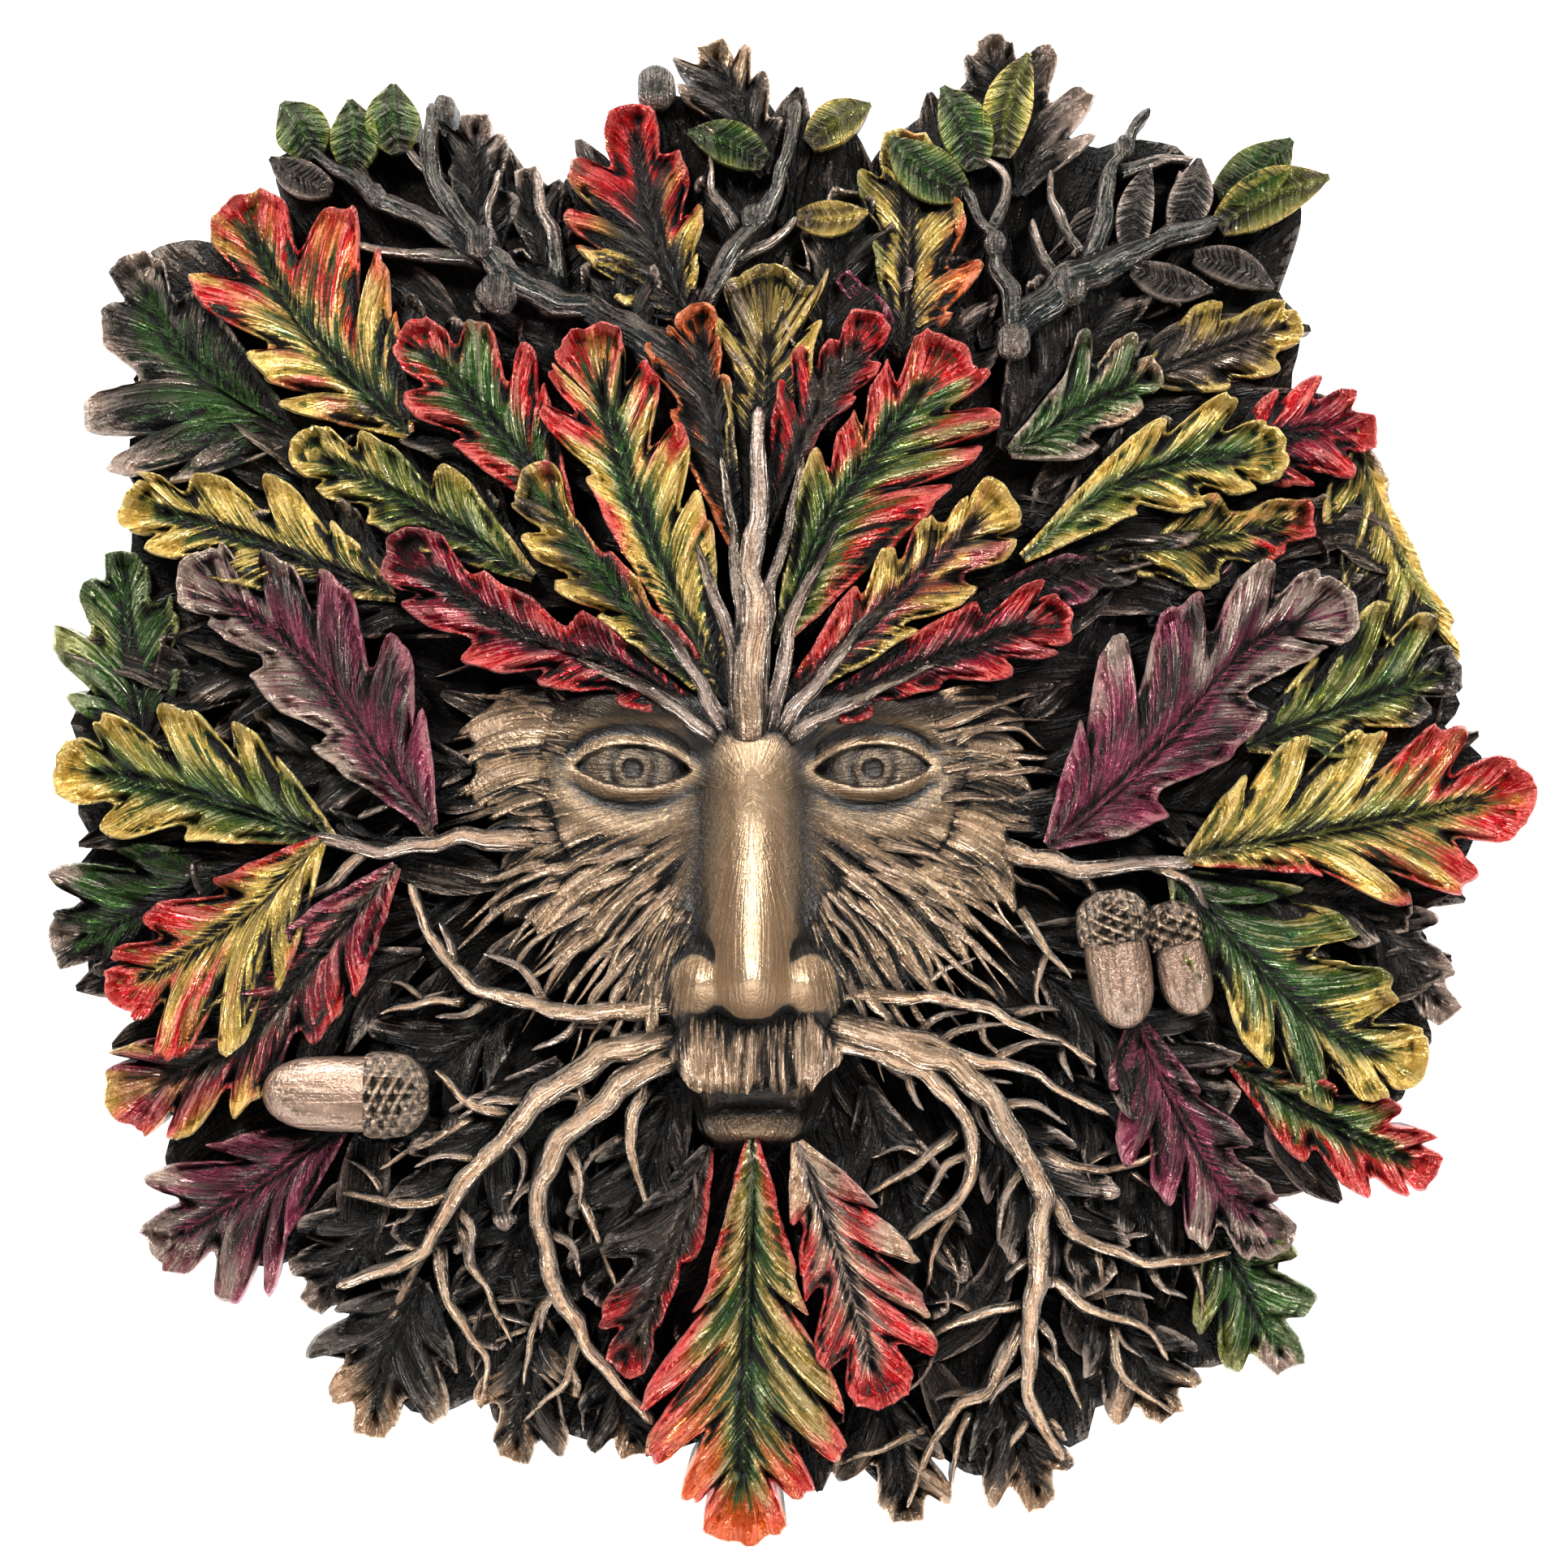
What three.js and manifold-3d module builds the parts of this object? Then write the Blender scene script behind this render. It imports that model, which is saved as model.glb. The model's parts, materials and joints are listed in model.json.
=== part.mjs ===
// Green man wall mask: a face among oak leaves, twigs, roots and acorns.
// The real one is cast in one piece in filled resin and hangs flat on a wall, so it is one solid here.
// Units are millimetres and +Z is up. The back lies in the plane y = 0 and the face looks along -Y.
import * as THREE from "three";
import Module from "manifold-3d";
import { mergeVertices } from "three/addons/utils/BufferGeometryUtils.js";

const wasm = await Module();
wasm.setup();

// Driving sizes of the casting
const MASK_WIDTH = 240;
const RIM_THICKNESS = 7;
const DOME_RISE = 9;
const NOSE_HEIGHT = 44;

// How far each layer of the carving stands above the ground of the casting
const RIM_LIFT = 3;
const LOW_LIFT = 5;
const MIDDLE_LIFT = 7;
const HIGH_LIFT = 9;
const TOP_LIFT = 11;

// Leaf surfaces: the swelling between midrib and margin, the raised margin and the drooping tip
const LEAF_SWELL = 1.3;
const LEAF_LIP = 0.5;
const LEAF_DROOP = 1.6;
const SWELL_PACE = 1.2;
const ARCH_START = 0.1;

// The plan of the carving is drawn 240 wide, from the middle of the back, and grows with the mask
const PLAN_WIDTH = 240;
const PLAN = MASK_WIDTH / PLAN_WIDTH;
const PLAN_HALF = 120;

// Ground of the casting: rim thickness at the edge, rising to the middle like a shallow dome
function ground(x, z) {
  const away = Math.hypot(x, z) / PLAN_HALF;
  return RIM_THICKNESS + DOME_RISE * Math.max(0, 1 - away * away);
}

// A relief piece is a patch of the plan with a height at each point. Its sides drop straight back
// through the plane of the wall, where the finished casting is trimmed flat.
const BEHIND = 2;

function solidOf(geometry) {
  geometry.deleteAttribute("normal");
  geometry.deleteAttribute("uv");
  const merged = mergeVertices(geometry, 1e-5);
  return new wasm.Manifold(new wasm.Mesh({
    numProp: 3,
    vertProperties: new Float32Array(merged.attributes.position.array),
    triVerts: new Uint32Array(merged.index.array),
  }));
}

// plan: [x, z, height] of each point. faces and border run anticlockwise as the mask is looked at.
function relief(plan, faces, border) {
  const front = plan.map(([x, z, height]) => [x * PLAN, -height, z * PLAN]);
  const back = plan.map(([x, z]) => [x * PLAN, BEHIND, z * PLAN]);
  const under = plan.length;
  const sides = border.flatMap((corner, step) => {
    const next = border[(step + 1) % border.length];
    return [[corner, next + under, next], [corner, corner + under, next + under]];
  });
  const backs = faces.map(([a, b, c]) => [a + under, c + under, b + under]);
  const geometry = new THREE.BufferGeometry();
  geometry.setAttribute("position", new THREE.Float32BufferAttribute([...front, ...back].flat(), 3));
  geometry.setIndex([...faces, ...backs, ...sides].flat());
  return solidOf(geometry);
}

// Relief on a grid of points: rows run up the mask and columns to the right
function gridRelief(rows) {
  const columns = rows[0].length;
  const at = (row, column) => row * columns + column;
  const faces = [];
  for (let row = 0; row + 1 < rows.length; row += 1) {
    for (let column = 0; column + 1 < columns; column += 1) {
      const corners = [at(row, column), at(row, column + 1), at(row + 1, column + 1), at(row + 1, column)];
      faces.push([corners[0], corners[1], corners[2]], [corners[0], corners[2], corners[3]]);
    }
  }
  const border = [];
  const last = rows.length - 1;
  for (let column = 0; column < columns - 1; column += 1) border.push(at(0, column));
  for (let row = 0; row < last; row += 1) border.push(at(row, columns - 1));
  for (let column = columns - 1; column > 0; column -= 1) border.push(at(last, column));
  for (let row = last; row > 0; row -= 1) border.push(at(row, 0));
  return relief(rows.flat(), faces, border);
}

const mix = (a, b, share) => a + (b - a) * share;
const within = (share) => Math.min(1, Math.max(0, share));

// Smooth line through a few points of the plan
function smoothLine(points) {
  const curve = new THREE.CatmullRomCurve3(
    points.map(([x, z]) => new THREE.Vector3(x, z, 0)), false, "centripetal");
  return {
    length: curve.getLength(),
    at: (share) => curve.getPointAt(within(share)),
    along: (share) => curve.getTangentAt(within(share)),
  };
}

// Leaves
// A leaf is its midrib, from stalk to tip, and the ends of the lobes on its left and on its right,
// as someone standing on the stalk and facing the tip would say. A side vein leans forward to each
// lobe's end, and between two lobes the margin draws back to SINUS_REACH of the veins' reach.
const SINUS_REACH = 0.62;
const FIRST_SINUS = 0.2;
const SINUS_SHARPNESS = 4;
const VEIN_LEAN = 0.9;
const VEIN_GAP = 0.05;
const LAST_VEIN = 0.8;
const LEAF_SPREAD = 1.06;
const STALK_HALF = 0.9;

// The round lobe at the tip: how far its shoulders turn from the midrib, in radians, and their reach
const TIP_TURN = 0.55;
const TIP_REACH = 0.86;

// Leaves in front show more of their form than the ones behind, which are cut more simply. A margin
// is cut at these shares of the way from one vein to the next: round lobe ends and sharp sinuses.
const SWELL_AT = 0.4;
const FRONT_CUT = { midrib: 3, margin: [0.2, 0.5, 0.8], swell: true };
const MIDDLE_CUT = { midrib: 2, margin: [0.2, 0.5, 0.8], swell: false };
const BEHIND_CUT = { midrib: 2, margin: [0, 0.5], swell: false };

function cutOf(lift) {
  if (lift >= TOP_LIFT) return FRONT_CUT;
  return lift >= MIDDLE_LIFT ? MIDDLE_CUT : BEHIND_CUT;
}

// Veins of one side: where each leaves the midrib, as a share of its length, and its reach. The last
// one is the shoulder of the round lobe at the tip.
function veinsOf(rib, lobes, tip, side) {
  const stalk = rib.along(0);
  const veins = [{ share: 0, x: -stalk.y * side * STALK_HALF, z: stalk.x * side * STALK_HALF }];
  for (const [x, z] of lobes) {
    const foot = Array.from({ length: 51 }, (_, step) => step / 50).reduce((best, share) => {
      const gap = (at) => Math.hypot(x - rib.at(at).x, z - rib.at(at).y);
      return gap(share) < gap(best) ? share : best;
    }, 0);
    const reach = Math.hypot(x - rib.at(foot).x, z - rib.at(foot).y);
    const least = veins.at(-1).share + VEIN_GAP;
    const share = Math.min(Math.max(foot - VEIN_LEAN * reach / rib.length, least), LAST_VEIN - VEIN_GAP);
    veins.push({ share, x: x - rib.at(share).x, z: z - rib.at(share).y });
  }
  const end = rib.at(LAST_VEIN);
  const [ahead, up] = [tip[0] - end.x, tip[1] - end.y];
  const [cos, sin] = [Math.cos(TIP_TURN) * TIP_REACH, Math.sin(TIP_TURN * side) * TIP_REACH];
  veins.push({ share: LAST_VEIN, x: ahead * cos - up * sin, z: ahead * sin + up * cos });
  return veins;
}

// Reach of the margin from the midrib at one share of its length
function reachAt(veins, share) {
  const order = Math.max(1, veins.findIndex((vein) => vein.share >= share));
  const [before, after] = [veins[order - 1], veins[order]];
  const through = (share - before.share) / (after.share - before.share);
  const sinus = order === 1 ? FIRST_SINUS : 1 - SINUS_REACH;
  const drawn = 1 - sinus * Math.sin(Math.PI * through) ** SINUS_SHARPNESS;
  return { x: mix(before.x, after.x, through) * drawn, z: mix(before.z, after.z, through) * drawn };
}

// Triangles that fill a ring of plan points, anticlockwise as the mask is looked at
function fill(plan, ring) {
  const contour = ring.map((corner) => new THREE.Vector2(plan[corner][0], plan[corner][1]));
  const cut = THREE.ShapeUtils.triangulateShape(contour, []);
  const faces = cut.map((face) => face.map((corner) => ring[corner]));
  const area = ([a, b, c]) => (plan[b][0] - plan[a][0]) * (plan[c][1] - plan[a][1])
    - (plan[b][1] - plan[a][1]) * (plan[c][0] - plan[a][0]);
  const turned = faces.reduce((sum, face) => sum + area(face), 0) < 0;
  return turned ? faces.map(([a, b, c]) => [a, c, b]) : faces;
}

function leaf(ribPoints, leftLobes, rightLobes, lift) {
  const cut = cutOf(lift);
  const rib = smoothLine(ribPoints);
  const tip = ribPoints.at(-1);
  const plan = [];
  const put = (x, z, share, out) => {
    const swell = LEAF_SWELL * Math.sin(Math.PI * Math.min(1, out * SWELL_PACE)) + LEAF_LIP * out;
    const arch = LEAF_DROOP * (Math.sin(Math.PI * Math.min(1, share + ARCH_START)) - 1);
    plan.push([x, z, ground(x, z) + lift + swell + arch]);
    return plan.length - 1;
  };
  const shares = Array.from({ length: cut.midrib + 1 }, (_, step) => LAST_VEIN * step / cut.midrib);
  const midrib = shares.map((share) => put(rib.at(share).x, rib.at(share).y, share, 0));
  const tipPoint = put(tip[0], tip[1], 1, 1);
  const faces = [];
  const [left, right] = [leftLobes, rightLobes].map((lobes, turn) => {
    const veins = veinsOf(rib, lobes, tip, turn === 0 ? 1 : -1);
    const out = (share, reach) => {
      const { x, z } = reachAt(veins, share);
      const spread = reach * LEAF_SPREAD;
      return put(rib.at(share).x + x * spread, rib.at(share).y + z * spread, share, reach);
    };
    const marginShares = veins.slice(1).flatMap((vein, order) =>
      cut.margin.map((share) => mix(veins[order].share, vein.share, share)));
    const stations = [0, ...marginShares.filter((share) => share > 0), LAST_VEIN];
    const margin = stations.map((share) => out(share, 1));
    if (!cut.swell) {
      faces.push(...fill(plan, [...midrib, tipPoint, ...margin.toReversed()]));
      return { swell: [], margin };
    }
    const swell = shares.slice(0, -1).map((share) => out(share, SWELL_AT));
    swell.push(midrib.at(-1));
    for (let step = 0; step < cut.midrib; step += 1) {
      const ring = [midrib[step], midrib[step + 1], swell[step + 1], swell[step]];
      faces.push(...fill(plan, [...new Set(ring)]));
    }
    faces.push(...fill(plan, [...swell, tipPoint, ...margin.toReversed()]));
    return { swell: swell.slice(0, 1), margin };
  });
  const [rightSide, leftSide] = [right, left].map(({ swell, margin }) => [...swell, ...margin]);
  const border = [midrib[0], ...rightSide, tipPoint, ...leftSide.toReversed()];
  return relief(plan, faces, border);
}

// Ribbons: small oval leaves, twigs and roots are a smooth line with a width. Its share at each
// place of the line: an oval leaf's blade, a tapering twig, an acorn's nut and its cup.
const POINT_WIDTH = 0.12;
const TWIG_TAPER = 0.72;
const CUP_WIDTHS = [0.5, 0.92, 1, 0.98];
const widths = {
  oval: (share) => Math.max(POINT_WIDTH, Math.sin(Math.PI * Math.min(1, mix(0.1, 1, share))) ** 0.8),
  taper: (share) => 1 - TWIG_TAPER * share,
  nut: (share) => Math.max(POINT_WIDTH, Math.sqrt(Math.max(0, 1 - mix(-0.62, 0.98, share) ** 4))),
  cup: (share) => CUP_WIDTHS[Math.round(share * (CUP_WIDTHS.length - 1))],
};

// Columns across a ribbon: a plain ridge, or a round back
const RIDGED = [-1, 0, 1];
const ROUND = [-1, -0.6, 0, 0.6, 1];

function ribbon(points, halfWidth, lift, { shape = "taper", steps = 3, crown = 0.9, across = RIDGED }) {
  const line = smoothLine(points);
  const rows = Array.from({ length: steps + 1 }, (_, step) => {
    const share = step / steps;
    const { x, y: z } = line.at(share);
    const along = line.along(share);
    const half = halfWidth * widths[shape](share);
    return across.map((side) => [
      x + along.y * half * side,
      z - along.x * half * side,
      ground(x, z) + lift + crown * half * Math.sqrt(1 - side * side),
    ]);
  });
  return gridRelief(rows);
}

// Acorns: a smooth nut in a wider cup, lying along the wall and half sunk in the carving
const CUP_SHARE = 0.38;
const CUP_WIDER = 1.16;
const NUT_START = 0.1;
const ACORN_CROWN = 0.8;

function acorn(cupX, cupZ, nutX, nutZ, halfWidth, lift) {
  const place = (share) => [mix(cupX, nutX, share), mix(cupZ, nutZ, share)];
  const nut = ribbon([place(NUT_START), place(1)], halfWidth, lift,
    { shape: "nut", steps: 5, crown: ACORN_CROWN, across: ROUND });
  const cup = ribbon([place(0), place(CUP_SHARE)], halfWidth * CUP_WIDER, lift,
    { shape: "cup", steps: CUP_WIDTHS.length - 1, crown: ACORN_CROWN, across: ROUND });
  return nut.add(cup);
}

// Face: a calm, plain one on the usual proportions, five eye widths wide, with brow, nose and chin
// a third of its height apart
const FACE_WIDTH = 96;
const FACE_X = -5;
const BROW_Z = 12;
const EYE_WIDTH = FACE_WIDTH / 5;
const FACE_THIRD = FACE_WIDTH / 2;
const NOSE_BASE_Z = BROW_Z - FACE_THIRD;
const MOUTH_Z = NOSE_BASE_Z - FACE_THIRD / 3;
const EYE_Z = BROW_Z - EYE_WIDTH * 0.5;
const FACE_EDGE_HEIGHT = 15;
const FACE_BULGE = 10;

const bump = (distance, spread) => Math.exp(-((distance / spread) ** 2));
const ball = (dx, dz, radius) => Math.sqrt(Math.max(0, 1 - (dx * dx + dz * dz) / (radius * radius)));

// Brow, cheekbones, eye sockets and the lids over the eyeballs
const FACE_HALF = FACE_WIDTH * 0.58;
const FACE_MIDDLE_Z = -10;
const BROW_RISE = 3.5;
const BROW_HALF = 4.5;
const BROW_ARCH = 0.01;
const CHEEK_RISE = 2.5;
const CHEEK_X = EYE_WIDTH * 1.4;
const CHEEK_RADIUS = EYE_WIDTH * 0.6;
const SOCKET_DEPTH = 4.5;
const SOCKET_RADIUS = EYE_WIDTH * 0.45;
const EYE_BALL_RISE = 5;
const EYE_BALL_RADIUS = EYE_WIDTH * 0.46;
const EYE_LENGTHENED = 1.45;

// Nose: a ridge that widens and rises from the brow to a round tip between two wings
const NOSE_TOP_HALF = EYE_WIDTH * 0.24;
const NOSE_HALF = EYE_WIDTH * 0.4;
const BRIDGE_HEIGHT = NOSE_HEIGHT - 14;
const RIDGE_HEIGHT = NOSE_HEIGHT - 3;
const FLAT_TOP = 0.45;
const FLANK = 1.25;
const TIP_UP = 6.5;
const TIP_RISE = 10;
const TIP_RADIUS = EYE_WIDTH * 0.42;
const WING_OUT = EYE_WIDTH * 0.44;
const WING_UP = 4.5;
const WING_RISE = 5;
const WING_RADIUS = EYE_WIDTH * 0.25;
const WING_HEIGHT = FACE_EDGE_HEIGHT + 12;

function faceHeight(x, z) {
  const side = Math.abs(x - FACE_X);
  const eye = side - EYE_WIDTH;
  const up = z - EYE_Z;
  const low = z - NOSE_BASE_Z;
  const oval = 1 - (side / FACE_HALF) ** 2 - ((z - FACE_MIDDLE_Z) / FACE_WIDTH) ** 2;
  let height = FACE_EDGE_HEIGHT + FACE_BULGE * oval;
  height += BROW_RISE * bump(z - BROW_Z + BROW_ARCH * eye * eye, BROW_HALF) * bump(eye, EYE_WIDTH);
  height -= SOCKET_DEPTH * bump(Math.hypot(eye / EYE_LENGTHENED, up), SOCKET_RADIUS);
  height += CHEEK_RISE * bump(Math.hypot(side - CHEEK_X, low - EYE_WIDTH), CHEEK_RADIUS);
  height += EYE_BALL_RISE * ball(eye, up * EYE_LENGTHENED, EYE_BALL_RADIUS);
  const down = within((BROW_Z - z) / FACE_THIRD);
  const ridge = mix(BRIDGE_HEIGHT, RIDGE_HEIGHT, down ** 1.3);
  const flank = within((side / mix(NOSE_TOP_HALF, NOSE_HALF, down) - FLAT_TOP) / FLANK);
  const base = within((low + 1) / 3);
  if (z < BROW_Z + 8) height = mix(height, Math.max(height, ridge), (1 - flank) ** 0.8 * base);
  const tip = ball(side, low - TIP_UP, TIP_RADIUS);
  if (tip > 0) height = Math.max(height, NOSE_HEIGHT - TIP_RISE * (1 - tip));
  const wing = ball(side - WING_OUT, low - WING_UP, WING_RADIUS);
  if (wing > 0) height = Math.max(height, WING_HEIGHT + WING_RISE * wing);
  return height;
}

// Lines of the face's grid, in eye widths from its middle and in face thirds below its brow
const FACE_COLUMNS = [0, 0.12, 0.25, 0.38, 0.52, 0.68, 0.84, 1, 1.16, 1.32, 1.55, 1.85, 2.25];
const FACE_ROWS = [1.33, 1.1, 1, 0.93, 0.86, 0.76, 0.62, 0.48, 0.38, 0.31, 0.24, 0.17, 0.1, 0.03, -0.12];
const TUFTS_FROM = 1.8;
const TUFT_OUT = 0.16;
const TUFT_IN = 0.1;
const JAW_SHARE = 0.32;
const NARROWING_FROM = 0.25;

// The patch narrows from the cheekbones to the moustache, and its sides end in ragged tufts of hair
function facePatch() {
  const sides = [...FACE_COLUMNS.slice(1).toReversed().map((column) => -column), ...FACE_COLUMNS];
  const rows = FACE_ROWS.map((row, order) => {
    const z = BROW_Z - FACE_THIRD * row;
    const narrow = mix(1, JAW_SHARE, within(row - NARROWING_FROM) ** 1.5);
    const tuft = order % 2 ? 1 + TUFT_OUT : 1 - TUFT_IN;
    return sides.map((column) => {
      const x = FACE_X + column * EYE_WIDTH * narrow * (Math.abs(column) > TUFTS_FROM ? tuft : 1);
      return [x, z, faceHeight(x, z)];
    });
  });
  return gridRelief(rows);
}

// Ground of the casting, cut to the uneven edge that shows between the outer leaves
const GROUND_EDGE = [
  [-107, 87], [-88, 94], [-80, 109], [-57, 110], [-38, 97], [-24, 113], [-12, 118], [14, 104], [32, 118],
  [48, 110], [86, 97], [84, 68], [96, 55], [108, 20], [117, -4], [106, -20], [106, -44], [98, -60],
  [82, -68], [80, -92], [38, -114], [16, -116], [-44, -107], [-66, -102], [-78, -83], [-99, -75],
  [-107, -44], [-117, -26], [-117, 16], [-108, 40],
];
const GROUND_RINGS = [1, 0.55];

function groundSlab() {
  const count = GROUND_EDGE.length;
  const plan = GROUND_RINGS.flatMap((ring) => GROUND_EDGE.map(([x, z]) =>
    [x * ring, z * ring, ground(x * ring, z * ring)]));
  const middle = plan.push([0, 0, ground(0, 0)]) - 1;
  const border = GROUND_EDGE.map((_, step) => count - 1 - step);
  const faces = [];
  for (let step = 0; step < count; step += 1) {
    const next = (step + 1) % count;
    for (let ring = 0; ring + 1 < GROUND_RINGS.length; ring += 1) {
      const [outer, inner] = [ring * count, (ring + 1) * count];
      faces.push([outer + next, outer + step, inner + step], [outer + next, inner + step, inner + next]);
    }
    const last = (GROUND_RINGS.length - 1) * count;
    faces.push([last + next, last + step, middle]);
  }
  return relief(plan, faces, border);
}

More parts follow.
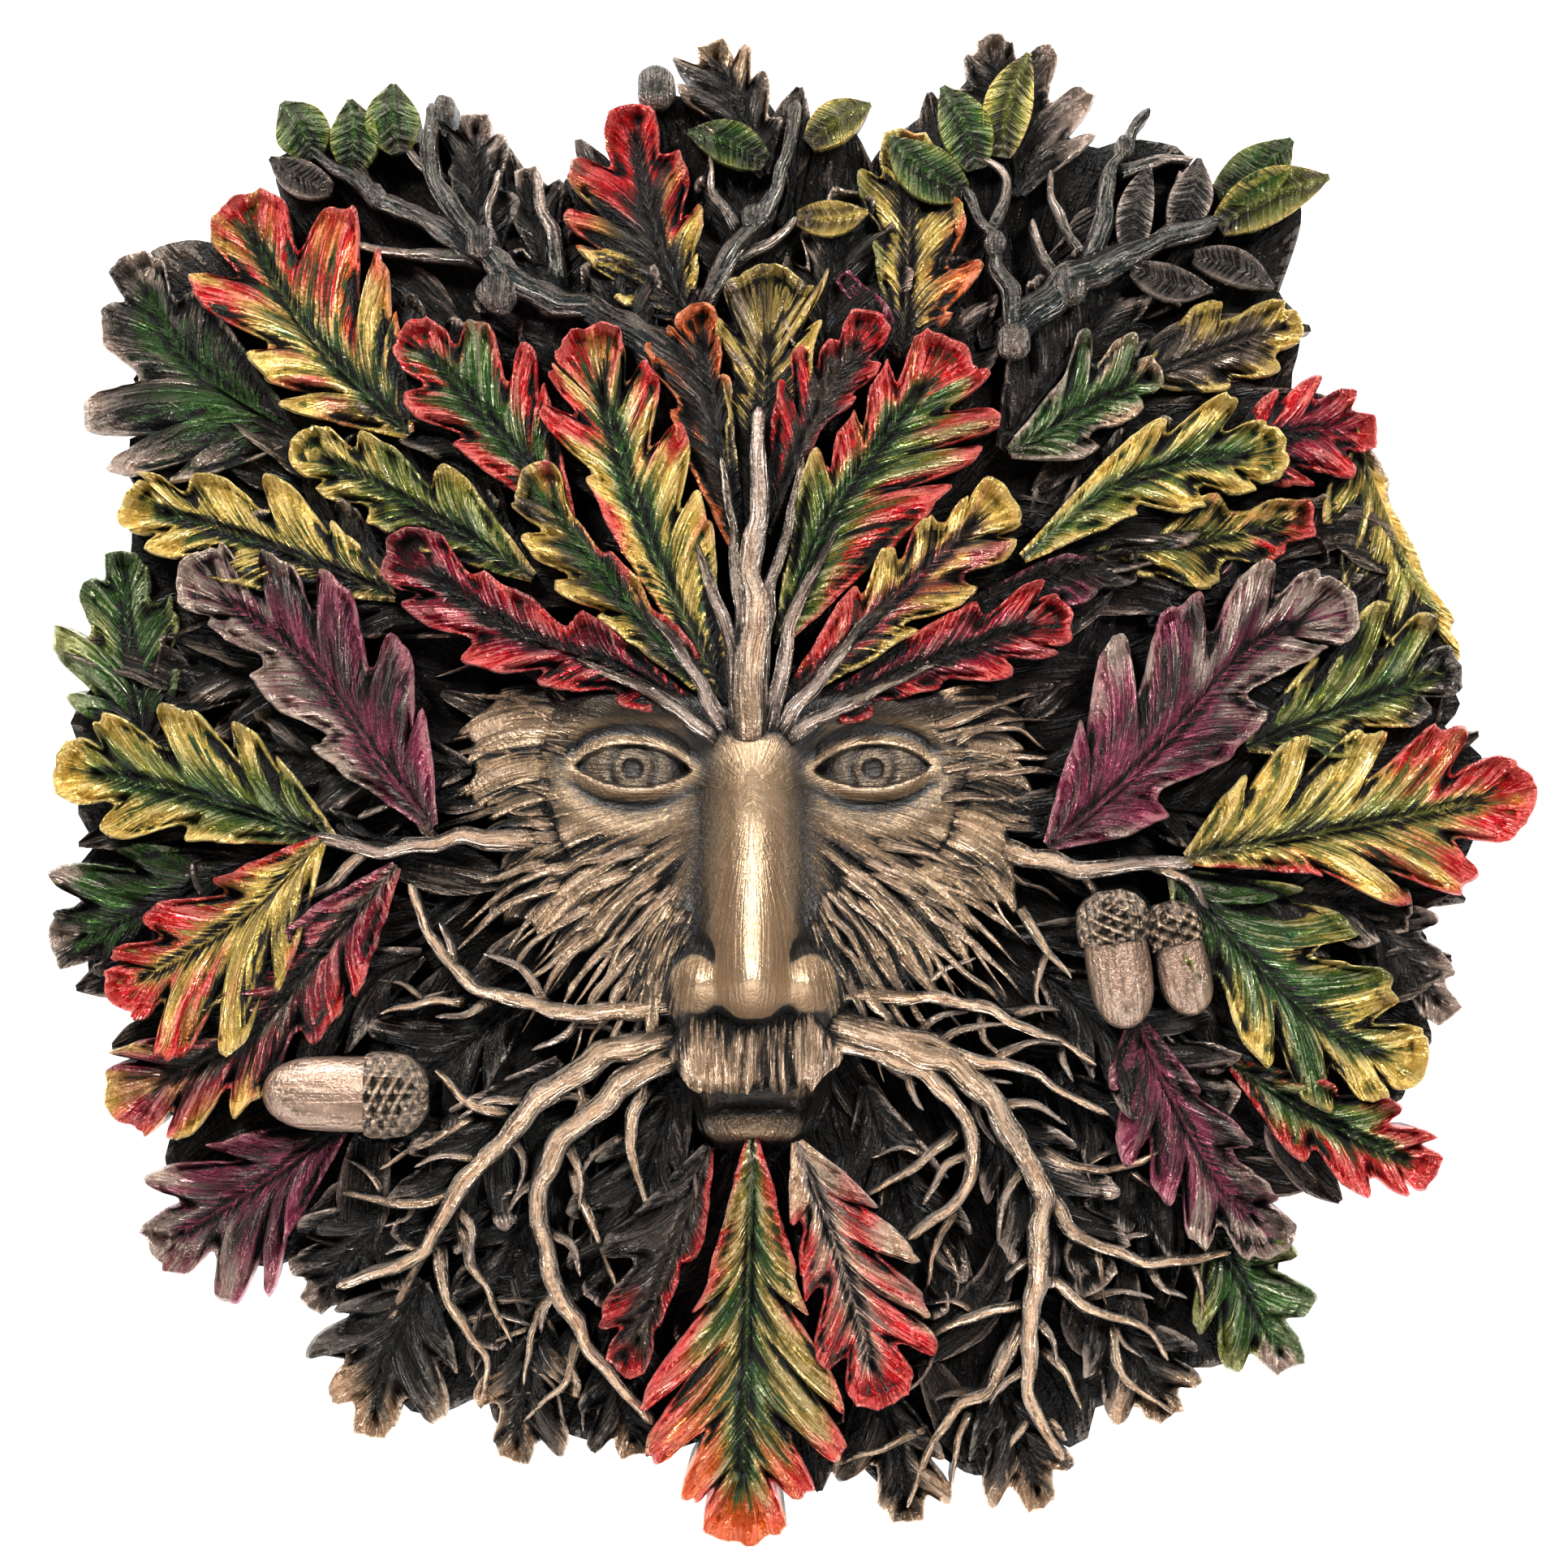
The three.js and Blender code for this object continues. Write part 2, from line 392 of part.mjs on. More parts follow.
// Each leaf: midrib from stalk to tip, lobe ends on its left, lobe ends on its right, lift and cuts
const LEAVES = [
  // dark leaves behind, round the edge
  [[[-80, 60], [-95, 72], [-107, 86]], [[-101, 53], [-111, 62], [-109, 75]],
    [[-93, 76], [-98, 84]], RIM_LIFT],
  [[[-48, 84], [-50, 97], [-50, 109]], [[-54, 98], [-56, 107]], [[-43, 92], [-45, 105]], RIM_LIFT],
  [[[-3, 98], [-7, 109], [-12, 120.3]], [[-12, 105], [-17, 112], [-18, 117]],
    [[0, 107], [-3, 114], [-6, 119]], LOW_LIFT],
  [[[38, 95], [36, 108], [33, 121.7]], [[30, 104], [27, 111], [29.5, 118]],
    [[50, 104], [49, 110.5], [42.5, 119]], RIM_LIFT],
  [[[92, 58], [98, 42], [104, 28], [107, 18]], [[96.5, 52], [102, 38], [108, 27]],
    [[90, 46], [97, 30], [102, 24]], RIM_LIFT],
  [[[-103, 6], [-106, 22], [-107, 38]], [[-115, 12], [-117.5, 22], [-113, 33]],
    [[-98, 16], [-98, 27]], RIM_LIFT],
  [[[-85, -12], [-103, -20], [-119, -27]], [[-100, -28], [-111, -31]],
    [[-104, -10], [-117, -14]], RIM_LIFT],
  [[[90, -18], [100, -28], [108, -38]], [[104, -20], [108, -30]], [[96, -34]], RIM_LIFT],
  [[[-58, -66], [-68, -74], [-77, -85]], [[-60, -80]], [[-78, -70], [-80, -79]], RIM_LIFT],
  [[[-58, -80], [-64, -92], [-67, -105.7]], [[-53, -92], [-55, -101]],
    [[-72, -84], [-76, -90], [-72, -99]], LOW_LIFT],
  [[[-40, -84], [-42, -98], [-44, -110]], [[-33, -96], [-36, -108]], [[-50, -98]], RIM_LIFT],
  [[[-26, -86], [-26, -98], [-24, -109]], [[-17, -98], [-18, -107]],
    [[-33, -100], [-31, -108]], RIM_LIFT],
  [[[14, -94], [18, -107], [20, -120]], [[26, -108], [27, -116]], [[8, -110]], RIM_LIFT],
  [[[34, -94], [38, -106], [42, -117.5]], [[45, -105], [47, -110]], [[30, -106], [33, -116]], RIM_LIFT],
  [[[50, -84], [57, -93], [63, -103]], [[66, -90], [67, -97]], [[48, -94], [53, -103]], RIM_LIFT],
  [[[69, -72], [75, -82], [82, -95]], [[82, -74], [85, -84]], [[66, -86], [72, -94]], LOW_LIFT],
  // left of the crown
  [[[-60, 56], [-77, 73], [-89, 95]], [[-79, 60], [-83, 66], [-93.5, 79]],
    [[-62, 73], [-64, 81.5], [-70.5, 91]], MIDDLE_LIFT],
  [[[-40, 33], [-60, 45], [-79, 55]], [[-57, 37], [-64, 41], [-74, 47]],
    [[-52, 49.5], [-66, 55.5]], MIDDLE_LIFT],
  [[[-34, 42], [-47, 58], [-61, 73.5]], [[-51, 53], [-60, 60]],
    [[-38, 62], [-40, 68], [-49, 73]], HIGH_LIFT],
  [[[-62, 30], [-85, 39], [-107, 46]], [[-88, 32], [-102, 38]],
    [[-70, 40], [-80, 48], [-93, 49], [-104, 50]], MIDDLE_LIFT],
  // crown, from left to right
  [[[-15, 74], [-21, 90], [-25, 110]], [[-27, 77], [-31.5, 85], [-34.5, 90], [-33, 98]],
    [[-14, 84], [-13, 91], [-16, 99.5]], LOW_LIFT],
  [[[19, 68], [20, 86], [19.5, 106]], [[14.5, 85], [12, 97]],
    [[27, 75], [31, 81.5], [28, 91]], LOW_LIFT],
  [[[-5, 12], [-4, 50], [-2, 83]], [[-9, 62], [-11, 73]], [[5, 72], [6, 81]], MIDDLE_LIFT],
  [[[-7, 36], [-11, 60], [-14.5, 77]], [[-17, 56], [-22, 69.5], [-18, 73]],
    [[-8, 56], [-8.5, 64], [-10.5, 71]], HIGH_LIFT],
  [[[-3, 40], [6, 60], [14.5, 75.5]], [[-1, 62.5], [2, 69.5], [7, 70.5]],
    [[6, 57], [11, 60.5], [15, 66]], HIGH_LIFT],
  [[[-9, 13], [-20, 35], [-27, 55], [-32, 73]], [[-30, 46], [-38, 58], [-36, 66]],
    [[-13, 44], [-16, 54], [-21.5, 66], [-25.5, 69]], TOP_LIFT],
  [[[-1, 22], [7, 42], [18, 58], [28, 70.5]], [[4, 52], [10, 56.5], [15, 65]],
    [[24, 45.5], [29.5, 52], [32.5, 57.5], [31, 66]], TOP_LIFT],
  // brows
  [[[-12, 10], [-25, 18], [-42, 24], [-63, 39]], [[-24, 12], [-36, 15.5], [-48, 18.5], [-60, 28]],
    [[-28, 25], [-45, 32]], HIGH_LIFT],
  [[[-10, 13], [-24, 28], [-41, 50]], [[-28, 25.5], [-36, 30.5], [-41, 38]],
    [[-16, 24], [-25, 34.5], [-34, 43]], TOP_LIFT],
  [[[0, 13], [16, 28], [36, 47]], [[10, 30], [16, 37], [22, 41], [29, 45.5]],
    [[18, 22.5], [28, 29], [37, 38]], TOP_LIFT],
  [[[2, 10], [22, 19], [46, 27]], [[27, 27.5], [41, 32]],
    [[12, 10], [21, 14.5], [35, 17], [43, 21]], HIGH_LIFT],
  // right of the crown
  [[[57, 65], [70, 70], [84, 75]], [[66, 77], [81, 78]], [[70, 63], [79, 66]], LOW_LIFT],
  [[[36, 53], [47, 59], [61, 67]], [[45, 65], [47, 72], [56, 71.5]], [[47, 52], [57, 60]], MIDDLE_LIFT],
  [[[68, 50], [83, 57], [96, 57]], [[78, 63], [85, 65.5], [92, 63]], [[82, 48], [91, 50]], LOW_LIFT],
  [[[38, 36], [50, 46], [62, 51], [81, 53]], [[58, 57], [70, 61.5]],
    [[54, 42.5], [65, 44], [75, 47]], HIGH_LIFT],
  [[[50, 37], [70, 40], [86, 43]], [[66, 46]], [[58, 33], [67, 31.5], [80, 37]], LOW_LIFT],
  // left cheek
  [[[-56, -7], [-64, 3], [-75, 18], [-97, 35]], [[-72, 3], [-83, 14.5], [-91, 25]],
    [[-57, 9], [-60, 20], [-72, 31], [-81, 35]], HIGH_LIFT],
  [[[-72, -9], [-98, -1], [-118, 3]], [[-92, -9], [-108, -8]],
    [[-80, 3], [-85, 8], [-96.5, 11], [-110, 9.5]], MIDDLE_LIFT],
  [[[-74, -9], [-85, -20], [-97, -28], [-109, -34]], [[-79, -29], [-87, -40], [-99, -42]],
    [[-88, -14], [-101, -20], [-108, -28]], HIGH_LIFT],
  [[[-62, -13], [-72, -24], [-86, -40], [-109, -52]],
    [[-68, -32], [-72, -37], [-86, -51], [-98, -56.5]], [[-76, -20], [-90, -34], [-108, -43]], MIDDLE_LIFT],
  [[[-70, -54], [-85, -65], [-103, -76]], [[-80, -72], [-82, -81], [-89, -82]],
    [[-88, -57], [-101, -63]], LOW_LIFT],
  // right cheek
  [[[42, -10], [52, -2], [64, 10], [75, 22], [92, 29]], [[46, 6], [51, 20], [63, 27], [76, 34]],
    [[56, -8], [73, 7], [86, 22]], HIGH_LIFT],
  [[[74, 6], [90, 12], [109, 19]], [[83, 18], [94, 28], [104, 26]], [[90, 4], [104, 11]], MIDDLE_LIFT],
  [[[64, -12], [80, -9], [96, -6], [121, -1]], [[72, 0], [80, 5.5], [92, 6.5], [106, 8]],
    [[84, -14], [97, -19], [108, -16]], HIGH_LIFT],
  [[[62, -14], [75, -28], [88, -40], [104, -46]], [[80, -16], [88, -21], [97, -33]],
    [[64, -28], [76, -43], [85, -51], [97, -50]], MIDDLE_LIFT],
  [[[56, -37], [63, -52], [70, -64], [81, -75]], [[66, -48], [73, -55], [79, -66]],
    [[52, -47], [54, -59], [61, -65.5], [66, -73]], MIDDLE_LIFT],
  [[[72, -45], [88, -55], [106, -63]], [[88, -48], [98, -51], [105, -57]],
    [[82, -60], [93, -66], [101, -67]], LOW_LIFT],
  // chin
  [[[-12, -58], [-18, -76], [-26, -95]], [[-13, -74], [-19, -84]],
    [[-23, -68], [-28, -72], [-29, -86]], MIDDLE_LIFT],
  [[[2, -57], [9, -76], [16, -100]], [[14, -66], [19, -73], [22, -84], [24, -89]],
    [[1, -68], [3, -78], [6, -92]], HIGH_LIFT],
  [[[-5, -56], [-6, -90], [-7, -122]], [[2, -80], [8, -97], [8, -105], [2, -113]],
    [[-12, -80], [-21, -96], [-20, -105], [-14, -114]], TOP_LIFT],
];

// Small oval leaves on the twigs: stalk, tip and half width
const OVAL_LEAVES = [
  [-70, 99, -70, 110.5, 4], [-62, 102, -63, 113, 4.5], [-76, 101, -81, 110, 4.5],
  [-3, 100, -15.5, 105, 3.7], [4, 103, 14, 109.5, 3.5], [2, 91, 13.5, 92, 3], [29, 95, 17, 104, 4.5],
  [31, 99, 25.5, 112.5, 4.3], [35, 101, 39.5, 118, 4], [70, 95, 82, 104, 4.5], [70, 90, 88, 98, 4.5],
  [57, 83, 69, 79.5, 3.5],
];

// Twigs of the crown and stalks of the side leaves: line, half width at the thick end and lift
const TWIGS = [
  [[[-20, 70], [-36, 78], [-43, 81], [-49, 87]], 3.4, 7],
  [[[-47, 84], [-52, 92], [-56, 98], [-57, 110]], 2, 6.5],
  [[[-47, 84], [-58, 90], [-66, 95], [-77, 103]], 2, 6.5],
  [[[-36, 80], [-38, 90], [-40, 99]], 1.4, 5.5],
  [[[-13, 76], [-9, 85], [-4, 92], [1, 101], [2, 110]], 1.9, 8],
  [[[-9, 83], [-3, 86], [2, 91]], 1.1, 8],
  [[[37, 70], [36, 78], [33, 88], [29, 96]], 1.6, 7],
  [[[33, 88], [36, 97], [32, 101]], 1.1, 7],
  [[[36, 72], [45, 80], [57, 86], [70, 91]], 3.2, 7],
  [[[48, 82], [52, 93], [55, 103], [59, 109]], 1.7, 7],
  [[[-38, -9], [-55, -9], [-64, -10.5], [-76, -8.5]], 1.6, 7.5],
  [[[34, -10], [45, -13], [66, -12.5]], 1.6, 8],
];

// Roots of the beard: line, half width at the thick end and lift
const ROOTS = [
  [[[-15, -40], [-30, -44], [-42, -53], [-51, -64], [-58, -75], [-72, -81]], 2.6, 8],
  [[[-58, -75], [-62, -84], [-70, -92]], 1.2, 5],
  [[[-56, -74], [-53, -86], [-48, -92], [-49, -101]], 1.2, 5],
  [[[-43, -53], [-51, -51], [-56, -46]], 1.2, 6],
  [[[-14, -35], [-30, -36], [-45, -35], [-54, -29], [-60, -16]], 1.9, 8],
  [[[-14, -41], [-27, -49], [-38, -62], [-37, -78], [-31, -91], [-21, -103]], 2.5, 8],
  [[[-22, -48], [-25, -58], [-22, -68]], 1.3, 6.5],
  [[[5, -40], [20, -45], [30, -54], [30, -64], [20, -73]], 2, 8],
  [[[5, -38], [20, -42], [33, -50], [41, -66], [40, -84], [40, -100], [45, -109]], 2.9, 8],
  [[[10, -38], [25, -42], [40, -47], [52, -53]], 1.6, 8],
  [[[6, -34], [24, -34], [38, -38], [50, -45]], 1.5, 7.5],
  [[[41, -59], [52, -62.5], [62, -58]], 1, 6],
  [[[41, -64], [48, -73], [60, -77.5], [72, -75.5]], 1.5, 6.5],
  [[[41, -78], [50, -85], [58, -88], [62, -93]], 1.3, 6],
  [[[39, -84], [30, -86], [20, -91]], 1, 5.5],
  [[[39, -86], [34, -96], [25, -104], [20, -117]], 1.4, 5],
];

// Acorns: cup end, nut end, half width and lift
const ACORNS = [
  [52, -17, 55, -39, 5.2, 8],
  [61, -19, 66, -37, 4.4, 6.5],
  [-57, -50, -83.5, -49.5, 6, 9],
];

// Moustache: a short fringe of upright locks below the nose, and the lower lip
const FRINGE_LOCKS = 5;
const FRINGE_HALF = 13;
const FRINGE_TOP_HALF = 10.4;
const FRINGE_LENGTH = 11;
const FRINGE_LIFT = 11;
const FRINGE_LOCK_HALF = 2.8;

function fringe() {
  return Array.from({ length: FRINGE_LOCKS }, (_, order) => {
    const across = order / (FRINGE_LOCKS - 1) * 2 - 1;
    const top = [FACE_X + across * FRINGE_TOP_HALF, NOSE_BASE_Z - 1];
    const foot = [FACE_X + across * FRINGE_HALF, NOSE_BASE_Z - FRINGE_LENGTH];
    return ribbon([top, foot], FRINGE_LOCK_HALF, FRINGE_LIFT, { steps: 2 });
  });
}

const LIP_WIDTH = 20;
const LIP_DROP = 2;
const LIP_THICKNESS = 2.4;
const LIP_LIFT = 9.5;

function lowerLip() {
  const corners = [-1, 1].map((side) => [FACE_X + side * LIP_WIDTH / 2, MOUTH_Z - 1]);
  const line = [corners[0], [FACE_X, MOUTH_Z - 1 - LIP_DROP], corners[1]];
  return ribbon(line, LIP_THICKNESS, LIP_LIFT, { shape: "oval", steps: 6 });
}

// The stalk that the forehead's leaves spring from, between the brows: line, half width and lift
const STALK = [[[-5.5, 9], [-5, 26], [-4, 46]], 4, 14];

// The bud at the top of the crown, in its cup: cup end, nut end, half width and lift
const BUD = [-20, 106, -20.5, 116, 3, LOW_LIFT];

// Oval leaves are nearly flat and lie a little over the leaves behind them
const OVAL_LIFT = LOW_LIFT + 2;
const OVAL_CROWN = 0.25;

// A twig or root has a row of corners for each of its points, and no fewer than four
const rowsOf = (line) => Math.max(3, line.length - 1);

const pieces = [
  groundSlab(),
  facePatch(),
  ...LEAVES.map((row) => leaf(...row)),
  ...OVAL_LEAVES.map(([x0, z0, x1, z1, half]) =>
    ribbon([[x0, z0], [x1, z1]], half, OVAL_LIFT, { shape: "oval", crown: OVAL_CROWN })),
  ...[...TWIGS, ...ROOTS].map(([line, half, lift]) => ribbon(line, half, lift, { steps: rowsOf(line) })),
  ...[...ACORNS, BUD].map((sizes) => acorn(...sizes)),
  ...fringe(),
  lowerLip(),
  ribbon(...STALK, { steps: 5 }),
];

const joined = pieces.reduce((whole, piece) => whole.add(piece));

// Trim: a block in front of the wall's plane keeps what is carved and makes the back flat. Slivers
// left where the forms cross are merged into their neighbours.
const TRIM_REACH = 2 * MASK_WIDTH;
const SLIVER = 0.12;
const block = new THREE.BoxGeometry(TRIM_REACH, TRIM_REACH / 2, TRIM_REACH);
block.translate(0, -TRIM_REACH / 4, 0);
const casting = joined.intersect(solidOf(block)).simplify(SLIVER);

const { vertProperties, triVerts } = casting.getMesh();
const castingGeometry = new THREE.BufferGeometry();
castingGeometry.setAttribute("position", new THREE.BufferAttribute(new Float32Array(vertProperties), 3));
castingGeometry.setIndex(new THREE.BufferAttribute(new Uint32Array(triVerts), 1));
castingGeometry.computeVertexNormals();

const paintedResin = new THREE.MeshStandardMaterial({ color: 0x4a3d2c, roughness: 0.48, metalness: 0.35 });
const mask = new THREE.Mesh(castingGeometry, paintedResin);
mask.name = "green_man_mask";

const group = new THREE.Group();
group.add(mask);

export default group;
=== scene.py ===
# Green man wall mask: a face among painted oak leaves, twigs, roots and acorns, cast in one piece in
# filled resin. Metres, +Z up, with the flat back in the plane y = 0 and the face looking along -Y.
import json
import math

import bmesh
import bpy
import numpy as np
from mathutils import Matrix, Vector
from mathutils.bvhtree import BVHTree

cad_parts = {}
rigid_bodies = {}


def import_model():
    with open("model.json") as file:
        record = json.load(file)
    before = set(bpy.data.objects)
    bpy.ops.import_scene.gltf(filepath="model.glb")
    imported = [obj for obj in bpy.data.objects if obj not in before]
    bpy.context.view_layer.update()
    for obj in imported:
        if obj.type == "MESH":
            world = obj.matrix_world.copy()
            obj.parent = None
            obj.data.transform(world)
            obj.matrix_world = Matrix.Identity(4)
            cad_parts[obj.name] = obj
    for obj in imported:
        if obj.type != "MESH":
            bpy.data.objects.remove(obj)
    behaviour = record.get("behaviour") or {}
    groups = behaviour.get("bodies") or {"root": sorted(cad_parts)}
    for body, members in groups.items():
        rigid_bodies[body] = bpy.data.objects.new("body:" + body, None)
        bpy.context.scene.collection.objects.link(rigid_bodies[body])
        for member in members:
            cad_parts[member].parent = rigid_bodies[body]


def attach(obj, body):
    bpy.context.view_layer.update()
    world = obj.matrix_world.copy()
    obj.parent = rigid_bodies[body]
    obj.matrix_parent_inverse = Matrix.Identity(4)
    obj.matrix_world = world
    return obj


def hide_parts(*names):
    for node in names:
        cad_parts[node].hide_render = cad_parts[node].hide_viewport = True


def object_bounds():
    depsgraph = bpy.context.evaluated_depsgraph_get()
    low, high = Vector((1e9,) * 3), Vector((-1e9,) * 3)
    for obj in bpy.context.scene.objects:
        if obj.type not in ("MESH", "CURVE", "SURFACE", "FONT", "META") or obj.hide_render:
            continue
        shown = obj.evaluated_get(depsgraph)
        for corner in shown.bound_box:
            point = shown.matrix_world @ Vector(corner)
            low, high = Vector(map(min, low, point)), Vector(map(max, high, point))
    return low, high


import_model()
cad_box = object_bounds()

# Ground of the casting
# The slab that all the rest is carved on, streaked like bark where it shows between the leaves.
# It is filled resin, cast face down, thin at the rim, domed to the middle and flat behind.
# The carving is laid out on a plan 240 wide, in millimetres from the middle of the back.
PLAN_WIDTH = 240
PLAN_HALF = PLAN_WIDTH / 2
MM = (cad_box[1].x - cad_box[0].x) / PLAN_WIDTH
RIM_THICKNESS = 7
DOME_RISE = 9
BEHIND_WALL = 2
SAME_PLACE = 0.000002
UNDERCOAT_SHADE = (0.3, 0.3, 0.3, 1)

# Paints: red, green and blue, and how far the streaks and the dark wash show on them
PAINTS = {
    "soot": (0.016, 0.013, 0.011, 1.0),
    "umber": (0.085, 0.062, 0.044, 1.0),
    "slate": (0.028, 0.026, 0.024, 1.0),
    "bark": (0.030, 0.038, 0.037, 1.0),
    "bronze": (0.46, 0.315, 0.205, 0.9),
    "silver": (0.36, 0.275, 0.23, 1.0),
    "moss": (0.030, 0.095, 0.014, 1.0),
    "olive": (0.17, 0.19, 0.028, 1.0),
    "gold": (0.58, 0.42, 0.10, 1.0),
    "ochre": (0.30, 0.21, 0.045, 1.0),
    "orange": (0.60, 0.13, 0.020, 1.0),
    "red": (0.50, 0.012, 0.018, 1.0),
    "wine": (0.28, 0.012, 0.035, 1.0),
    "plum": (0.27, 0.040, 0.090, 1.0),
}


def lattice(column, row, seed):
    value = np.sin(column * 12.9898 + row * 78.233 + seed * 37.719) * 43758.5453
    return value - np.floor(value)


def noise(across, along, seed=0):
    """Smooth value noise from 0 to 1, the same in every run."""
    column, row = np.floor(across), np.floor(along)
    u, v = across - column, along - row
    u, v = u * u * (3 - 2 * u), v * v * (3 - 2 * v)
    low = lattice(column, row, seed) * (1 - u) + lattice(column + 1, row, seed) * u
    high = lattice(column, row + 1, seed) * (1 - u) + lattice(column + 1, row + 1, seed) * u
    return low * (1 - v) + high * v


def ramp(value, low, high):
    share = np.clip((value - low) / (high - low), 0, 1)
    return share * share * (3 - 2 * share)


def mixed(first, second, share):
    """The first paint with a share of the second over it. A paint is its name or its four values."""
    first, second = (PAINTS[paint] if isinstance(paint, str) else paint for paint in (first, second))
    share = np.asarray(share)[..., None]
    return np.asarray(first) * (1 - share) + np.asarray(second) * share


def bump(distance, spread):
    return np.exp(-(distance / spread) ** 2)


def dome(x, z):
    away = np.hypot(x, z) / PLAN_HALF
    return RIM_THICKNESS + DOME_RISE * np.maximum(0, 1 - away * away)


carved = bpy.data.collections.new("carved")
bpy.context.scene.collection.children.link(carved)


def carve(name, x, z, height, paint, grain, root=(0, 0), back=1.0, first_coat=None, shine=1.0):
    """One carved form: a grid of points and heights, drawn back through the wall's plane.

    x, z and height are grids in millimetres. paint is the colour on top, first_coat the one between
    its streaks, and grain the place across and along the streaks. The sides draw in towards root by
    the share back, and shine is how much the dry brush has left on the form.
    """
    rows, columns = x.shape
    bpy.ops.object.select_all(action="DESELECT")
    bpy.ops.mesh.primitive_grid_add(x_subdivisions=columns - 1, y_subdivisions=rows - 1, size=2)
    form = bpy.context.object
    form.name = name
    mesh = form.data
    points = np.stack([x, -height, z], axis=-1).reshape(-1, 3) * MM
    mesh.vertices.foreach_set("co", points.ravel())
    corners = np.zeros(len(mesh.loops), dtype=np.int32)
    mesh.loops.foreach_get("vertex_index", corners)
    paint = np.broadcast_to(paint, (*x.shape, 4))
    first_coat = np.broadcast_to(paint * UNDERCOAT_SHADE if first_coat is None else first_coat, paint.shape)
    first_coat = np.concatenate([first_coat[..., :3], np.broadcast_to(shine, x.shape)[..., None]], axis=-1)
    grain = np.stack(np.broadcast_arrays(*grain), axis=-1)
    for coat, values in (("paint", paint), ("first_coat", first_coat)):
        layer = mesh.color_attributes.new(coat, "FLOAT_COLOR", "CORNER")
        layer.data.foreach_set("color", values.reshape(-1, 4)[corners].ravel())
    layer = mesh.uv_layers[0]
    layer.name = "grain"
    layer.data.foreach_set("uv", grain.reshape(-1, 2)[corners].ravel())
    bpy.ops.object.mode_set(mode="EDIT")
    bpy.ops.mesh.select_all(action="SELECT")
    bpy.ops.mesh.remove_doubles(threshold=SAME_PLACE)
    bpy.ops.mesh.extrude_region_move()
    bpy.ops.object.mode_set(mode="OBJECT")
    picked = np.zeros(len(mesh.vertices), dtype=bool)
    mesh.vertices.foreach_get("select", picked)
    places = np.zeros(len(mesh.vertices) * 3)
    mesh.vertices.foreach_get("co", places)
    places = places.reshape(-1, 3)
    for axis, middle in ((0, root[0] * MM), (2, root[1] * MM)):
        places[picked, axis] = middle + (places[picked, axis] - middle) * back
    places[picked, 1] = BEHIND_WALL * MM
    mesh.vertices.foreach_set("co", places.ravel())
    bpy.ops.object.mode_set(mode="EDIT")
    bpy.ops.mesh.select_all(action="SELECT")
    bpy.ops.mesh.normals_make_consistent(inside=False)
    if bmesh.from_edit_mesh(mesh).calc_volume(signed=True) < 0:
        bpy.ops.mesh.flip_normals()
    bpy.ops.object.mode_set(mode="OBJECT")
    for holder in form.users_collection:
        holder.objects.unlink(form)
    carved.objects.link(form)


def round_off(x, z, height):
    """Brings the last column of a round grid onto its first, and its middle to one height."""
    x[:, -1], z[:, -1], height[:, -1] = x[:, 0], z[:, 0], height[:, 0]
    height[0] = height[0].mean()


GROUND_EDGE = [
    (-107, 87), (-88, 94), (-80, 109), (-57, 110), (-38, 97), (-24, 113), (-12, 118), (14, 104), (32, 118),
    (48, 110), (86, 97), (84, 68), (96, 55), (108, 20), (117, -4), (106, -20), (106, -44), (98, -60),
    (82, -68), (80, -92), (38, -114), (16, -116), (-44, -107), (-66, -102), (-78, -83), (-99, -75),
    (-107, -44), (-117, -26), (-117, 16), (-108, 40),
]
EDGE_STEPS = 14
RINGS = 62
SCALLOPS = 27
SCALLOP_DEPTH = 0.045
NICK_DEPTH = 0.02
FOLD_HEIGHT = 2.6
STRAND_HEIGHT = 1.7
EDGE_FALL = 0.8

edge = np.array(GROUND_EDGE + GROUND_EDGE[:1], dtype=float)
shares = np.arange(len(GROUND_EDGE) * EDGE_STEPS + 1) / EDGE_STEPS
edge = np.stack([np.interp(shares, np.arange(len(edge)), edge[:, axis]) for axis in (0, 1)], axis=-1)
turn = np.unwrap(np.arctan2(edge[:, 1], edge[:, 0]))
ring = np.linspace(0, 1, RINGS)[:, None]
out = np.hypot(edge[:, 0], edge[:, 1])[None] * ring
sway = turn[None] + 0.10 * (noise(turn[None] * 3 + 20, out / 22, 3) - 0.5)
folds = noise(sway * 9 + 40, out / 26, 1) - 0.5
strands = noise(sway * 34 + 70, out / 17, 2) - 0.5
scallop = np.abs(np.sin(SCALLOPS * turn + 2.5 * noise(turn * 5 + 30, 0 * turn, 4)))
nick = noise(turn * 26 + 50, 0 * turn, 5)
notch = 1 - (SCALLOP_DEPTH * (1 - scallop) + NICK_DEPTH * nick)[None] * ring ** 8
x, z = edge[None, :, 0] * ring * notch, edge[None, :, 1] * ring * notch
height = dome(x, z) + FOLD_HEIGHT * folds + STRAND_HEIGHT * strands - 0.4
height = np.where(ring > 0.999, height - EDGE_FALL, height)
round_off(x, z, height)
paint = mixed("soot", "umber", ramp(folds + strands, 0.1, 0.7))
carve("ground", x, z, height, paint, (sway * 60, out), shine=0.6)

# Undergrowth
# Dark narrow leaves and bark behind the painted ones, pointing outward all round. They are carved
# into the ground and keep its black wash, with only their raised edges brushed with bronze.
UNDERGROWTH = [
    # radius where a ring of leaves begins, how many they are, their length and half width
    (22, 20, 28, 3.4), (40, 30, 30, 3.6), (58, 38, 30, 3.8), (76, 46, 28, 3.8), (92, 50, 24, 3.6),
]
SHORTEST_LEAF = 8

